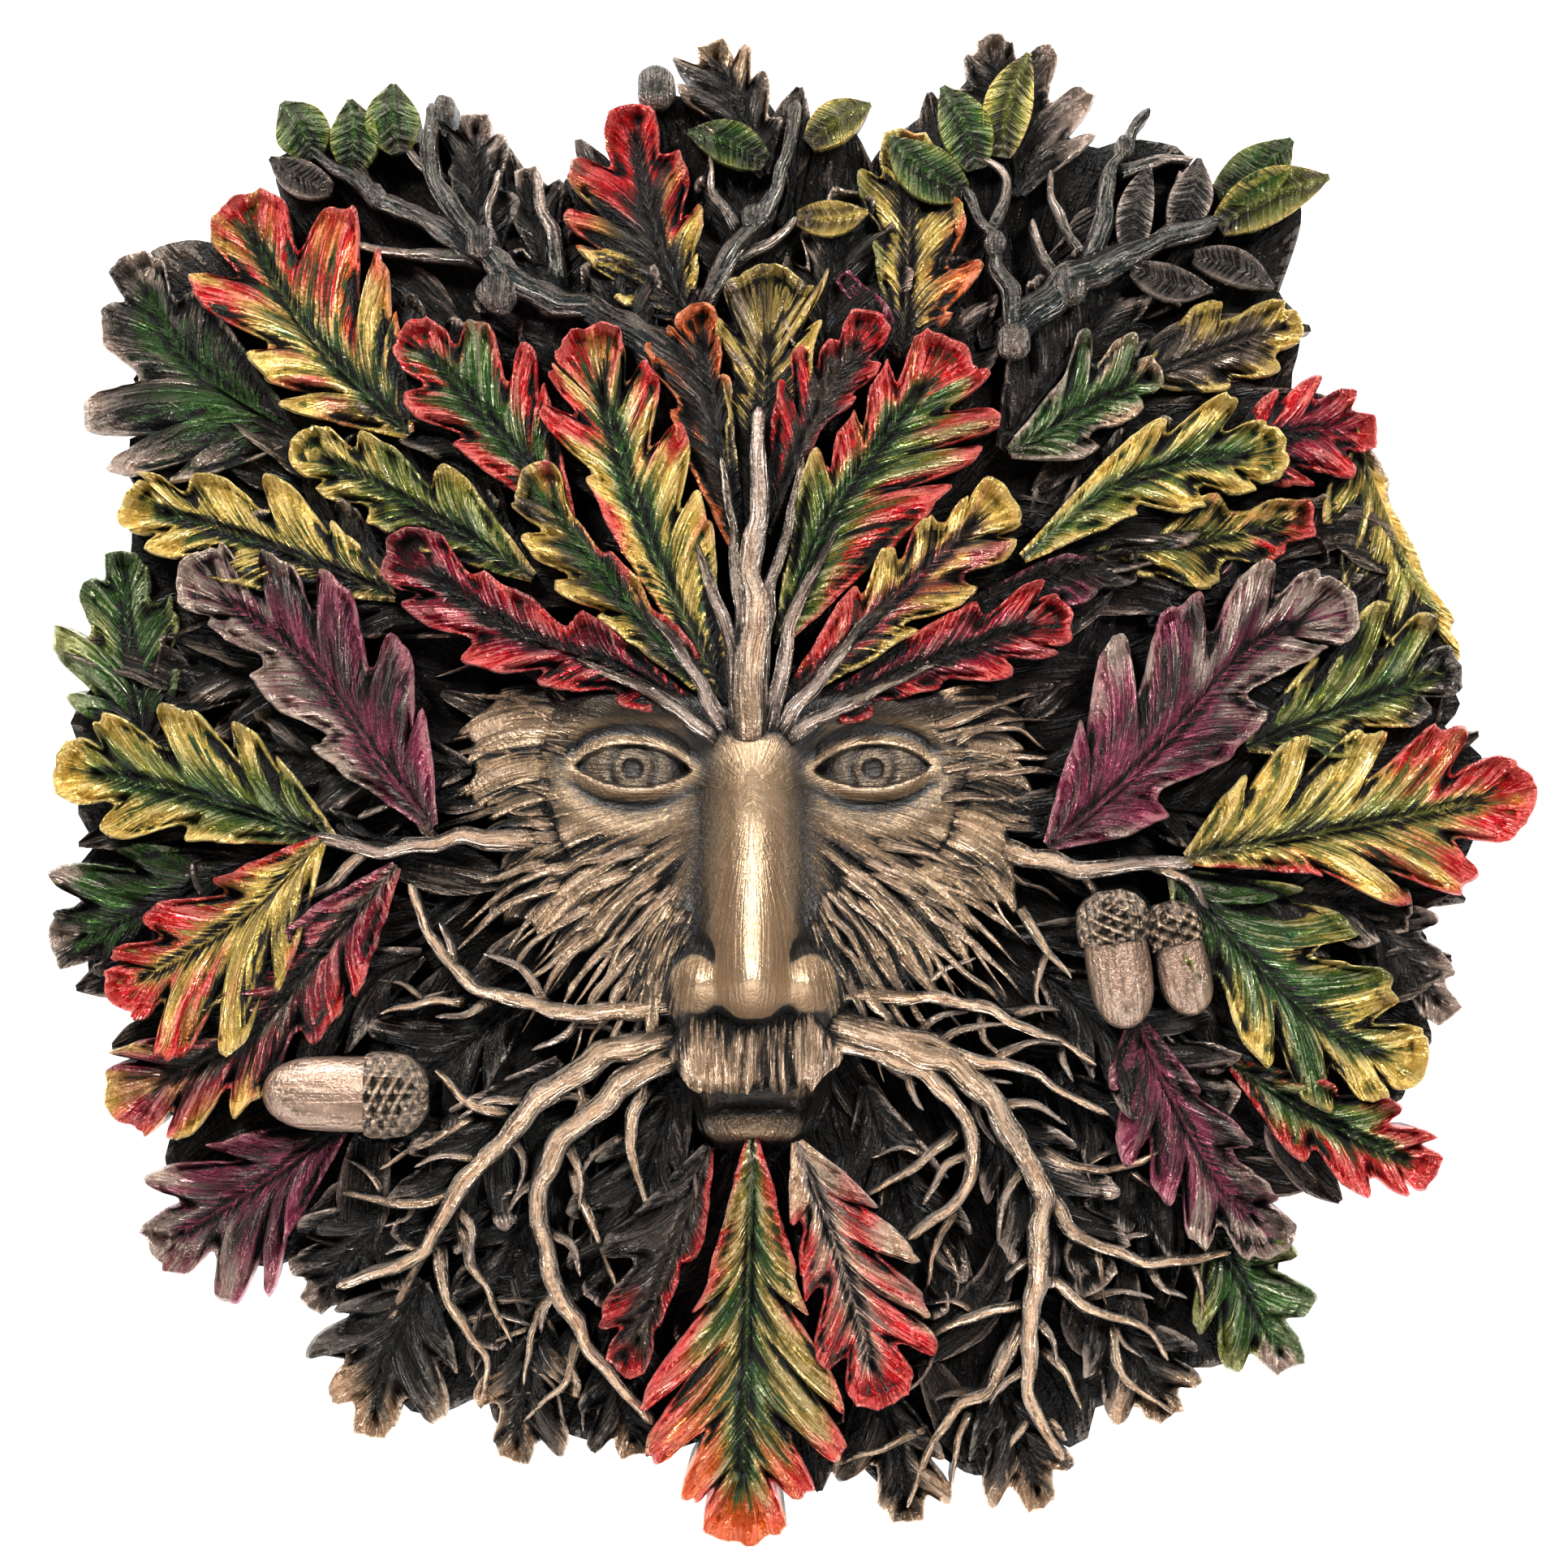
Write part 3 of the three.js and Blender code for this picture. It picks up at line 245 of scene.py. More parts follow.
order = np.argsort(turn % (2 * math.pi))
rim_turn, rim_radius = (turn % (2 * math.pi))[order], np.hypot(edge[:, 0], edge[:, 1])[order]
for belt, (radius, count, reach, half) in enumerate(UNDERGROWTH):
    for number in range(count):
        chance = [lattice(number, belt, seed) for seed in (3, 5, 7, 11, 13)]
        angle = (number + 0.8 * chance[0]) / count * 2 * math.pi
        begin = radius + 9 * (chance[1] - 0.5)
        length = reach * (0.7 + 0.6 * chance[2])
        length = min(length, np.interp(angle % (2 * math.pi), rim_turn, rim_radius) + 1.5 - begin)
        if length < SHORTEST_LEAF:
            continue
        share = np.linspace(0, 1, int(length / 1.2) + 2)[:, None]
        side = np.linspace(-1, 1, 9)[None]
        width = half * np.maximum(0.08, np.sin(np.pi * (0.03 + 0.94 * share)) ** 0.8)
        width = width * (0.8 + 0.5 * noise(share * length / 5, 0 * share + number, 14))
        heading = angle + 1.2 * (chance[3] - 0.5) + 1.3 * (chance[4] - 0.5) * share
        along = share * length
        x = begin * math.cos(angle) + np.cos(heading) * along - np.sin(heading) * side * width
        z = begin * math.sin(angle) + np.sin(heading) * along + np.cos(heading) * side * width
        height = dome(x, z) + 0.2 + 3.2 * chance[1] + 1.8 * side ** 2 + 1.0 * bump(side * width, 0.7)
        folds = noise(side * 2.5 + number, along / 6 + belt, 15) - 0.5
        height += 1.6 * folds + 1.6 * side * (chance[2] - 0.5)
        height -= 3.0 * np.maximum(0, 1 - 4 * share) ** 2 + 1.8 * share ** 3 + 1.0 * (np.abs(side) > 0.99)
        stain = noise(side * 2 + number, along / 6, 17)
        paint = mixed("soot", "umber", 0.7 * ramp(stain, 0.4, 0.9))
        paint = mixed(paint, "silver", 0.6 * ramp(np.abs(side), 0.78, 1.0))
        # Their raised edges keep more of the dry brush; below the face its bronze is dimmed as painted shade
        # under the roots
        brush_and_painted_shade = (0.5 + 0.4 * ramp(np.abs(side), 0.75, 1.0)) * (1 - 0.6 * ramp(-30 - z, 0, 20))
        grain = (side * width + 20 * number, along)
        carve(f"under_{belt}_{number}", x, z, height, paint, grain, shine=brush_and_painted_shade)

# Leaves
# Oak leaves in three or four layers, each a midrib with side veins that lean forward to the lobes.
# They are carved in one with the ground, painted in streaks along the veins, dark in the grooves.
SINUS_REACH = 0.58
FIRST_SINUS = 0.1
LOBE_BULGE = 0.10
SPREAD = 1.13
SINUS_SHARPNESS = 6
VEIN_LEAN = 1.25
LAST_VEIN = 0.8
TIP_TURN = 0.55
TIP_REACH = 0.86
VEIN_GAP = 0.05
STALK_HALF = 0.9
LEAF_SWELL = 1.3
LEAF_LIP = 0.5
LEAF_DROOP = 1.6
RIM, LOW, MIDDLE, HIGH, TOP = 3, 5, 7, 9, 11
LEAF_COLUMNS = np.array([0, 0.06, 0.14, 0.25, 0.37, 0.5, 0.63, 0.75, 0.85, 0.92, 0.97, 1.0])
LEAF_STEP = 1.05
LOW_LEAF_STEP = LEAF_STEP * 1.25
FINE_ROWS = 400
MIDRIB_RISE = 1.1
VEIN_RISE = 0.9
RUFFLE = 2.7
LIP_RISE = 1.6
LIP_GROOVE = 1.0
STREAK_RISE = 0.75
CURL = 3.4
EDGE_DROP = 0.75


def smooth_line(points):
    """Centripetal Catmull-Rom line: its place at a share of its length, and its length."""
    points = np.array(points, dtype=float)
    knots = np.vstack([2 * points[0] - points[1], points, 2 * points[-1] - points[-2]])
    step = np.linspace(0, 1, 40, endpoint=False)[:, None]
    parts = []
    for a, b, c, d in zip(knots, knots[1:], knots[2:], knots[3:]):
        before, through, after = (math.dist(p, q) ** 0.5 for p, q in ((a, b), (b, c), (c, d)))
        leave = ((b - a) / before - (c - a) / (before + through) + (c - b) / through) * through
        arrive = ((c - b) / through - (d - b) / (through + after) + (d - c) / after) * through
        square = 3 * (c - b) - 2 * leave - arrive
        parts.append(b + leave * step + square * step ** 2 + (2 * (b - c) + leave + arrive) * step ** 3)
    path = np.vstack([*parts, points[-1:]])
    reached = np.concatenate([[0], np.cumsum(np.hypot(*np.diff(path, axis=0).T))])
    share = reached / reached[-1]

    def at_share(at):
        return np.stack([np.interp(at, share, path[:, axis]) for axis in (0, 1)], axis=-1)

    return at_share, reached[-1]


def turned(vector, angle):
    cos, sin = np.cos(angle), np.sin(angle)
    x, z = vector[..., 0], vector[..., 1]
    return np.stack([x * cos - z * sin, x * sin + z * cos], axis=-1)


def veins_of(rib, length, lobes, tip, side):
    """Side veins of one side: the share of the midrib where each one leaves, and its reach."""
    ahead = rib(0.01) - rib(0)
    veins = [(0, STALK_HALF * turned(ahead / np.hypot(*ahead), side * math.pi / 2))]
    spots = np.linspace(0, 1, 51)
    for lobe in lobes:
        gaps = np.hypot(*(np.array(lobe) - rib(spots)).T)
        share = spots[gaps.argmin()] - VEIN_LEAN * gaps.min() / length
        share = min(max(share, veins[-1][0] + VEIN_GAP), LAST_VEIN - VEIN_GAP)
        veins.append((share, np.array(lobe) - rib(share)))
    end = np.array(tip) - rib(LAST_VEIN)
    veins.append((LAST_VEIN, turned(end, TIP_TURN * side) * TIP_REACH))
    return np.array([share for share, _ in veins]), np.array([reach for _, reach in veins])


def margin_of(veins, share):
    """Reach of the margin from the midrib, and how far a place is from one vein to the next."""
    places, reaches = veins
    order = np.clip(np.searchsorted(places, share), 1, len(places) - 1)
    through = (share - places[order - 1]) / (places[order] - places[order - 1])
    wave = np.sin(np.pi * through)
    sinus = np.where(order == 1, FIRST_SINUS, 1 - SINUS_REACH)
    bulge = LOBE_BULGE * np.where(order == 1, 2 * wave, np.sin(2 * np.pi * through) ** 2)
    drawn = 1 - sinus * wave ** SINUS_SHARPNESS + bulge
    reach = reaches[order - 1] + (reaches[order] - reaches[order - 1]) * through[:, None]
    return reach * drawn[:, None], through


def leaf(number, midrib, left, right, lift, colours):
    """An oak leaf, from its midrib, the tips of its left and right lobes and its height.

    colours names the paints of the core, the blade, the edges (left/right) and the tip, and may end
    with the share of the midrib where the tip's colour starts.
    """
    rib, length = smooth_line(midrib)
    tip = midrib[-1]
    sides = [veins_of(rib, length, lobes, tip, side) for lobes, side in ((left, 1), (right, -1))]
    # Rows of points are spread evenly along the longer margin, then fanned round the tip
    fine = np.linspace(0, LAST_VEIN, FINE_ROWS)
    pace = [np.hypot(*np.diff(rib(fine) + margin_of(veins, fine)[0], axis=0).T) for veins in sides]
    slowest = length * LAST_VEIN / (FINE_ROWS - 1)
    reached = np.concatenate([[0], np.cumsum(np.maximum(np.maximum(*pace), slowest))])
    step = LEAF_STEP if lift > LOW else LOW_LEAF_STEP
    share = np.interp(np.linspace(0, reached[-1], max(8, int(reached[-1] / step))), reached, fine)
    reaches, throughs = zip(*(margin_of(veins, share) for veins in sides))
    end = np.array(tip) - rib(LAST_VEIN)
    tip_rows = max(5, int(2 * TIP_TURN * np.hypot(*end) / step))
    swing = np.linspace(1, -1, tip_rows + 2)[1:-1]
    tip_reach = turned(end, TIP_TURN * swing) * (1 - (1 - TIP_REACH) * np.abs(swing) ** 1.5)[:, None]
    root = np.vstack([rib(share), np.repeat(rib(LAST_VEIN)[None], tip_rows, 0), rib(share[::-1])])
    reach = np.vstack([reaches[0], tip_reach, reaches[1][::-1]])
    through = np.concatenate([throughs[0], 0 * swing + 1, throughs[1][::-1]])
    along = np.concatenate([share, 0 * swing + LAST_VEIN, share[::-1]])
    fan = np.concatenate([0 * share, 1 - np.abs(swing), 0 * share])
    side = np.concatenate([0 * share + 1, swing, 0 * share - 1])
    # A margin's corners are rounded, and it is a little wavy between the veins
    soft = reach.copy()
    for shift in (-2, -1, 1, 2):
        soft += np.roll(reach, shift, axis=0)
    inner = slice(3, -3)
    reach[inner] = soft[inner] / 5
    size = np.hypot(*reach.T)
    margin = np.concatenate([[0], np.cumsum(np.hypot(*np.diff(root + reach, axis=0).T))])
    waves = noise(margin / 2.6 + 9 * number, 0 * side + 5, 7)
    waves = waves + 0.5 * noise(margin / 1.2 + 9 * number, 0 * side, 8)
    reach *= (SPREAD - np.minimum(0.14, 1.5 / np.maximum(size, 1)) * waves)[:, None]
    size = np.hypot(*reach.T)[:, None]
    v = LEAF_COLUMNS[None]
    bow = turned(reach, -side * math.pi / 2) * (0.55 * (1 - along / LAST_VEIN))[:, None]
    place = root[:, None] + reach[:, None] * v[..., None] + bow[:, None] * (v * (1 - v))[..., None]
    x, z = place[..., 0], place[..., 1]
    s = along[:, None] + (1 - LAST_VEIN) * fan[:, None] * v
    u = along[:, None] * length + np.where(fan > 0, (1 - side) * size[:, 0] * 0.4, 0)[:, None]
    u = u + np.where(side > 0, 0, 60)[:, None] + 150 * number + 0 * v
    out = v * size
    height = dome(x, z) + lift + LEAF_SWELL * np.sin(np.pi * np.minimum(1, 1.2 * v)) + LEAF_LIP * v
    height += LEAF_DROOP * (np.sin(np.pi * np.minimum(1, s + 0.1)) - 1)
    # The midrib and the side veins are ridges with a groove on either side
    ridge = MIDRIB_RISE * (1 - 0.5 * s) * bump(out, 0.7) - 1.0 * bump(out - 1.7, 0.9)
    vein = np.zeros_like(x)
    for places, reaches in sides:
        for start, run in zip(places[1:], reaches[1:]):
            stem = rib(start)
            span = np.hypot(*run)
            toward = ((x - stem[0]) * run[0] + (z - stem[1]) * run[1]) / span ** 2
            apart = np.abs((x - stem[0]) * run[1] - (z - stem[1]) * run[0]) / span
            shown = ramp(toward, 0.05, 0.25) * (1 - ramp(toward, 0.75, 1.0))
            vein = np.maximum(vein, shown * bump(apart, 0.6))
            ridge -= 0.6 * shown * bump(apart - 1.3, 0.7)
    ridge += VEIN_RISE * vein
    ruffle = np.cos(2 * np.pi * through)[:, None] * v ** 3 * np.minimum(1, size / 9)
    height += ridge * ramp(s, -0.05, 0.12) + RUFFLE * ruffle
    inward = (1 - v) * size
    lip = LIP_RISE * bump(inward - 0.5, 0.6) - LIP_GROOVE * bump(inward - 2.3, 1.0)
    height += lip * np.minimum(1, size / 5) * ramp(v, 0, 0.4)
    streak = noise(u / 1.3 + 3, out / 9.0, 11) - 0.5
    height += STREAK_RISE * streak * np.sin(np.pi * 0.96 * v)
    curl = noise(s * 5 + number * 7.3, v * 1.6 + side[:, None], 13) - 0.5
    height += CURL * curl * v * np.minimum(1, size / 8)
    height = np.where(v > 0.99, height - EDGE_DROP, height)
    # Paint runs from the core to the blade and the edges in streaks, and from a sooty foot to the tip
    core, blade, edges, tips, *tips_from = colours.split()
    tips_from = float(tips_from[0]) if tips_from else 0.8
    edges = (edges.split("/") * 2)[:2]
    smudge = 0.4 * (noise(u / 1.6, out / 9 + 4, 17) - 0.5) + 0.6 * (noise(u / 7, out / 9, 19) - 0.5)
    paint = mixed(core, blade, ramp(v + smudge, 0.10, 0.42))
    rim = np.where((side > 0)[:, None, None], PAINTS[edges[0]], PAINTS[edges[1]])
    band = 0.78 if edges[0] in ("silver", "bronze") else 0.54
    band = band + 0.5 * (noise(u / 11 + 3 * number, 0 * u, 21) - 0.5)
    paint = mixed(paint, rim, ramp(v + smudge, band, band + 0.32))
    toward_tip = ramp(s + 0.35 * v + 1.4 * smudge, tips_from, tips_from + 0.32)
    paint = mixed(paint, tips, toward_tip * ramp(v, 0.1, 0.5))
    paint = mixed(paint, "soot", 0.75 * ramp(0.24 - s - 0.2 * v + smudge * 0.3, 0.0, 0.2))
    undercoat = mixed(core, "soot", 0.35) * [0.8, 0.8, 0.8, 1]
    shine = 0.3 + 0.7 * ramp(v, 0.72, 1.0) if blade == "slate" else 1.0
    carve(f"leaf_{number}", x, z, height, paint, (u, out), rib(0.5), 0.9, undercoat, shine)


LEAVES = [
    # dark leaves behind, round the edge
    ([(-78, 56), (-96, 68), (-107, 86)], [(-96, 49), (-106, 51), (-110, 59), (-109, 77)], [(-94, 79)],
     RIM, "moss slate silver silver"),
    ([(-48, 84), (-50, 97), (-50, 109)], [(-54, 98), (-56, 107)], [(-43, 92), (-45, 105)],
     RIM, "slate slate silver silver"),
    ([(-37, 80), (-40, 90), (-42, 100)], [(-44, 92)], [(-34, 90), (-36, 97)],
     RIM, "slate slate silver silver"),
    ([(-3, 98), (-7, 109), (-12, 120.3)], [(-12, 105), (-17, 112), (-18, 117)],
     [(0, 107), (-3, 114), (-6, 119)], LOW, "slate slate bronze bronze"),
    ([(38, 95), (36, 108), (33, 121.7)], [(30, 104), (27, 111), (29.5, 118)],
     [(50, 104), (49, 110.5), (42.5, 119)], RIM, "slate slate silver silver"),
    ([(92, 58), (98, 42), (104, 28), (107, 18)], [(96.5, 52), (102, 38), (108, 27)],
     [(87, 45), (91, 33), (98, 23)], RIM, "olive gold silver gold"),
    ([(-103, 6), (-106, 22), (-107, 38)], [(-115, 12), (-117.5, 22), (-113, 33)], [(-98, 16), (-98, 27)],
     RIM, "moss moss olive moss"),
    ([(-85, -12), (-103, -20), (-119, -27)], [(-100, -28), (-111, -31)], [(-104, -10), (-117, -14)],
     RIM, "moss slate moss silver"),
    ([(90, -18), (100, -28), (108, -38)], [(104, -20), (108, -30)], [(96, -34)],
     RIM, "slate slate silver silver"),
    ([(-58, -66), (-68, -74), (-77, -85)], [(-60, -80)], [(-78, -70), (-80, -79)],
     RIM, "slate slate silver silver"),
    ([(-58, -80), (-64, -92), (-67, -105.7)], [(-53, -92), (-55, -101)], [(-72, -84), (-76, -90), (-72, -99)],
     LOW, "slate slate bronze bronze"),
    ([(-40, -84), (-42, -98), (-44, -110)], [(-33, -96), (-36, -108)], [(-50, -98)],
     RIM, "soot slate bronze bronze"),
    ([(-26, -86), (-26, -98), (-24, -109)], [(-17, -98), (-18, -107)], [(-33, -100), (-31, -108)],
     RIM, "soot slate bronze bronze"),
    ([(14, -94), (18, -107), (20, -120)], [(26, -108), (27, -116)], [(8, -110)],
     RIM, "soot slate bronze bronze"),
    ([(34, -94), (38, -106), (42, -117.5)], [(45, -105), (47, -110)], [(30, -106), (33, -116)],
     RIM, "soot slate bronze bronze"),
    ([(50, -84), (57, -93), (63, -103)], [(66, -90), (67, -97)], [(48, -94), (53, -103)],
     RIM, "soot slate silver bronze"),
    ([(69, -72), (75, -82), (82, -95)], [(82, -74), (85, -84)], [(66, -86), (72, -94)],
     LOW, "moss moss olive silver"),
    ([(28, 28), (42, 33), (57, 35)], [(45, 37)], [(48, 29)], LOW, "slate slate plum slate"),
    ([(62, 30), (76, 34), (88, 38)], [(76, 41)], [(80, 31)], RIM, "slate plum slate slate"),
    # left of the crown
    ([(-60, 56), (-77, 73), (-89, 95)], [(-79, 60), (-83, 66), (-93.5, 79)],
     [(-62, 73), (-64, 81.5), (-70.5, 91)], MIDDLE, "moss gold gold/orange red 0.5"),
    ([(-40, 33), (-60, 45), (-79, 55)], [(-57, 37), (-64, 41), (-74, 47)], [(-52, 49.5), (-66, 55.5)],
     MIDDLE, "moss olive gold gold"),
    ([(-34, 42), (-47, 58), (-61, 73.5)], [(-51, 53), (-60, 60)], [(-38, 62), (-40, 68), (-49, 73)],
     HIGH, "moss moss red red"),
    ([(-62, 30), (-85, 39), (-107, 46)], [(-88, 32), (-102, 38)],
     [(-70, 40), (-80, 48), (-93, 49), (-104, 50)], MIDDLE, "moss gold gold gold"),
    # crown, from left to right
    ([(-15, 74), (-21, 90), (-25, 110)], [(-27, 77), (-31.5, 85), (-34.5, 90), (-33, 98)],
     [(-14, 84), (-13, 91), (-16, 99.5)], LOW, "slate slate gold red 0.45"),
    ([(19, 68), (20, 86), (19.5, 106)], [(14.5, 85), (12, 97)], [(27, 75), (31, 81.5), (28, 91)],
     LOW, "umber gold olive/orange gold"),
    ([(-5, 12), (-4, 50), (-2, 83)], [(-9, 62), (-11, 73)], [(5, 72), (6, 81)],
     MIDDLE, "gold umber silver/orange gold"),
    ([(-7, 36), (-11, 60), (-14.5, 77)], [(-17, 56), (-22, 69.5), (-18, 73)],
     [(-8, 56), (-8.5, 64), (-10.5, 71)], HIGH, "slate slate orange/gold orange"),
    ([(-3, 40), (6, 60), (14.5, 75.5)], [(-1, 62.5), (2, 69.5), (7, 70.5)], [(6, 57), (11, 60.5), (15, 66)],
     HIGH, "umber slate red/wine red"),
    ([(-9, 13), (-20, 35), (-27, 55), (-32, 73)], [(-30, 46), (-38, 58), (-36, 66)],
     [(-13, 44), (-16, 54), (-21.5, 66), (-27, 71)], TOP, "moss gold red/gold red 0.65"),
    ([(-1, 22), (7, 42), (18, 58), (28, 70.5)], [(4, 52), (10, 56.5), (15, 65)],
     [(24, 45.5), (29.5, 52), (32.5, 57.5), (31, 66)], TOP, "moss olive gold/red red 0.65"),
    ([(19, 68), (14, 76), (9, 82)], [(13, 73)], [(17, 77)], LOW, "plum plum silver plum"),
    # brows
    ([(-12, 10), (-25, 18), (-42, 24), (-63, 39)], [(-24, 12), (-36, 15.5), (-48, 18.5), (-60, 28)],
     [(-28, 25), (-45, 32)], HIGH, "soot wine red wine"),
    ([(-10, 13), (-24, 28), (-41, 50)], [(-28, 25.5), (-36, 30.5), (-41, 38)],
     [(-16, 24), (-25, 34.5), (-34, 43)], TOP, "moss slate gold/red gold"),
    ([(0, 13), (16, 28), (36, 47)], [(10, 30), (16, 37), (22, 41), (29, 45.5)],
     [(18, 22.5), (28, 29), (37, 38)], TOP, "umber wine red/gold gold 0.6"),
    ([(2, 10), (22, 19), (46, 27)], [(27, 27.5), (41, 32)], [(12, 10), (21, 14.5), (35, 17), (43, 21)],
     HIGH, "soot wine red red"),
    # right of the crown
    ([(57, 65), (70, 70), (84, 75)], [(66, 77), (81, 78)], [(70, 63), (79, 66)],
     LOW, "umber umber gold gold"),
    ([(36, 53), (47, 59), (61, 67)], [(45, 65), (47, 72), (56, 71.5)], [(47, 52), (57, 60)],
     MIDDLE, "moss moss silver bronze"),
    ([(68, 50), (83, 57), (96, 57)], [(78, 63), (85, 65.5), (92, 63)], [(82, 48), (91, 50)],
     LOW, "wine wine red red"),
    ([(38, 36), (50, 46), (62, 51), (81, 53)], [(58, 57), (70, 61.5)], [(54, 42.5), (65, 44), (75, 47)],
     HIGH, "moss olive gold gold"),
    ([(50, 37), (70, 40), (86, 43)], [(66, 46)], [(58, 33), (67, 31.5), (80, 37)],
     LOW, "olive gold gold red 0.7"),
    # left cheek
    ([(-56, -7), (-64, 3), (-75, 18), (-97, 35)], [(-72, 3), (-83, 14.5), (-91, 25)],
     [(-57, 9), (-60, 20), (-72, 31), (-81, 35)], HIGH, "plum slate plum silver 0.6"),
    ([(-72, -9), (-98, -1), (-118, 3)], [(-92, -9), (-108, -8)],
     [(-80, 3), (-85, 8), (-96.5, 11), (-110, 9.5)], MIDDLE, "moss olive gold gold"),
    ([(-74, -9), (-85, -20), (-97, -28), (-109, -34)], [(-79, -29), (-87, -40), (-99, -42)],
     [(-88, -14), (-101, -20), (-108, -28)], HIGH, "gold gold gold/red red 0.5"),
    ([(-62, -13), (-72, -24), (-86, -40), (-109, -52)], [(-68, -32), (-72, -37), (-86, -51), (-98, -56.5)],
     [(-76, -20), (-90, -34), (-108, -43)], MIDDLE, "umber wine red/plum gold"),
    ([(-70, -54), (-85, -65), (-103, -76)], [(-80, -72), (-82, -81), (-89, -82)], [(-88, -57), (-101, -63)],
     LOW, "plum slate plum silver"),
    # right cheek
    ([(42, -10), (52, -2), (64, 10), (75, 22), (92, 29)], [(46, 6), (51, 20), (63, 27), (76, 34)],
     [(56, -8), (73, 7), (86, 22)], HIGH, "plum slate plum silver 0.6"),
    ([(74, 6), (90, 12), (109, 19)], [(83, 18), (94, 28), (104, 26)], [(90, 4), (104, 11)],
     MIDDLE, "moss olive gold slate"),
    ([(64, -12), (80, -9), (96, -6), (121, -1)], [(72, 0), (80, 5.5), (92, 6.5), (106, 8)],
     [(84, -14), (97, -19), (108, -16)], HIGH, "olive gold gold/red red 0.55"),
    ([(62, -14), (75, -28), (88, -40), (104, -46)], [(80, -16), (88, -21), (97, -33)],
     [(64, -28), (76, -43), (85, -51), (97, -50)], MIDDLE, "moss moss olive gold 0.5"),
    ([(56, -37), (63, -52), (70, -64), (81, -75)], [(66, -48), (73, -55), (79, -66)],
     [(52, -47), (54, -59), (61, -65.5), (66, -73)], MIDDLE, "plum slate plum silver"),
    ([(72, -45), (88, -55), (106, -63)], [(88, -48), (98, -51), (105, -57)],
     [(82, -60), (93, -66), (101, -67)], LOW, "moss olive red red 0.55"),
    # chin
    ([(-12, -58), (-18, -76), (-26, -95)], [(-13, -74), (-19, -84)], [(-23, -68), (-28, -72), (-29, -86)],
     MIDDLE, "umber slate red/slate red 0.75"),
    ([(2, -57), (9, -76), (16, -100)], [(14, -66), (19, -73), (22, -84), (24, -89)],
     [(1, -68), (3, -78), (6, -92)], HIGH, "silver bronze silver/red red 0.45"),
    ([(-5, -56), (-6, -90), (-7, -122)], [(2, -80), (8, -97), (8, -105), (2, -113)],
     [(-12, -80), (-21, -96), (-20, -105), (-14, -114)], TOP, "moss ochre red/red orange 0.9"),
]

for number, row in enumerate(LEAVES):
    leaf(number, *row)

# Bare leaves behind
# A ring of unpainted oak leaves between and under the painted ones, black with worn bronze edges.
# They are carved like the others, a little lower, and lean at chance to either side.
BARE_LEAVES = 30
BARE_BEGIN = 50
BARE_STAGGER = 7
BARE_LENGTH = 40
BARE_HALF = 10
# place of each lobe's tip, as a share of the leaf's length and of its half width
BARE_LOBES = [(0.38, 0.8), (0.62, 1), (0.86, 0.7)]

for number in range(BARE_LEAVES):
    chance = [lattice(number, 1, seed) - 0.5 for seed in (33, 35)]
    angle = (number + 0.5 * chance[0]) / BARE_LEAVES * 2 * math.pi
    ahead = turned(np.array([1.0, 0.0]), angle)
    begin = BARE_BEGIN + BARE_STAGGER * (number % 3)
    room = np.interp(angle % (2 * math.pi), rim_turn, rim_radius) - 1 - begin
    length = min(BARE_LENGTH, room)
    across = turned(ahead, math.pi / 2) * BARE_HALF
    bend = across * 0.5 * chance[1]
    at = [ahead * (begin + length * share) + bend * math.sin(math.pi * share) for share in (0, 0.5, 1)]
    left, right = ([at[0] + ahead * length * share + side * across * wide for share, wide in BARE_LOBES]
                   for side in (1, -1))
    leaf(100 + number, at, left, right, RIM - 1 + 2 * (number % 2), "soot slate silver silver")

# Oval leaves
# Small smooth leaves at the ends of the crown's twigs, green with paler rims round a fine midrib.
# They are carved with the twigs, and brushed with yellow green on their raised edges.
OVALS = [
    # foot, tip, half width and colour
    (-70, 99, -70, 110.5, 4, "moss"), (-62, 102, -63, 113, 4.5, "moss"), (-76, 101, -81, 110, 4.5, "moss"),
    (-73, 96, -83, 101, 3, "slate"), (-3, 100, -15.5, 105, 3.7, "moss"), (4, 103, 14, 109.5, 3.5, "olive"),
    (2, 91, 13.5, 92, 3, "gold"), (29, 95, 17, 104, 4.5, "moss"), (31, 99, 25.5, 112.5, 4.3, "moss"),
    (35, 101, 39.5, 118, 4, "olive"), (70, 95, 82, 104, 4.5, "moss"), (70, 90, 88, 98, 4.5, "olive"),
    (63, 89, 67, 101, 3.5, "slate"), (56, 84, 59, 100, 3, "slate"), (56, 83, 69, 79.5, 3, "slate"),
    (66, 85, 79, 80, 3, "silver"),
]
OVAL_RISE = 2.2
OVAL_RIMS = {"moss": "olive", "olive": "gold", "gold": "gold", "slate": "silver", "silver": "silver"}

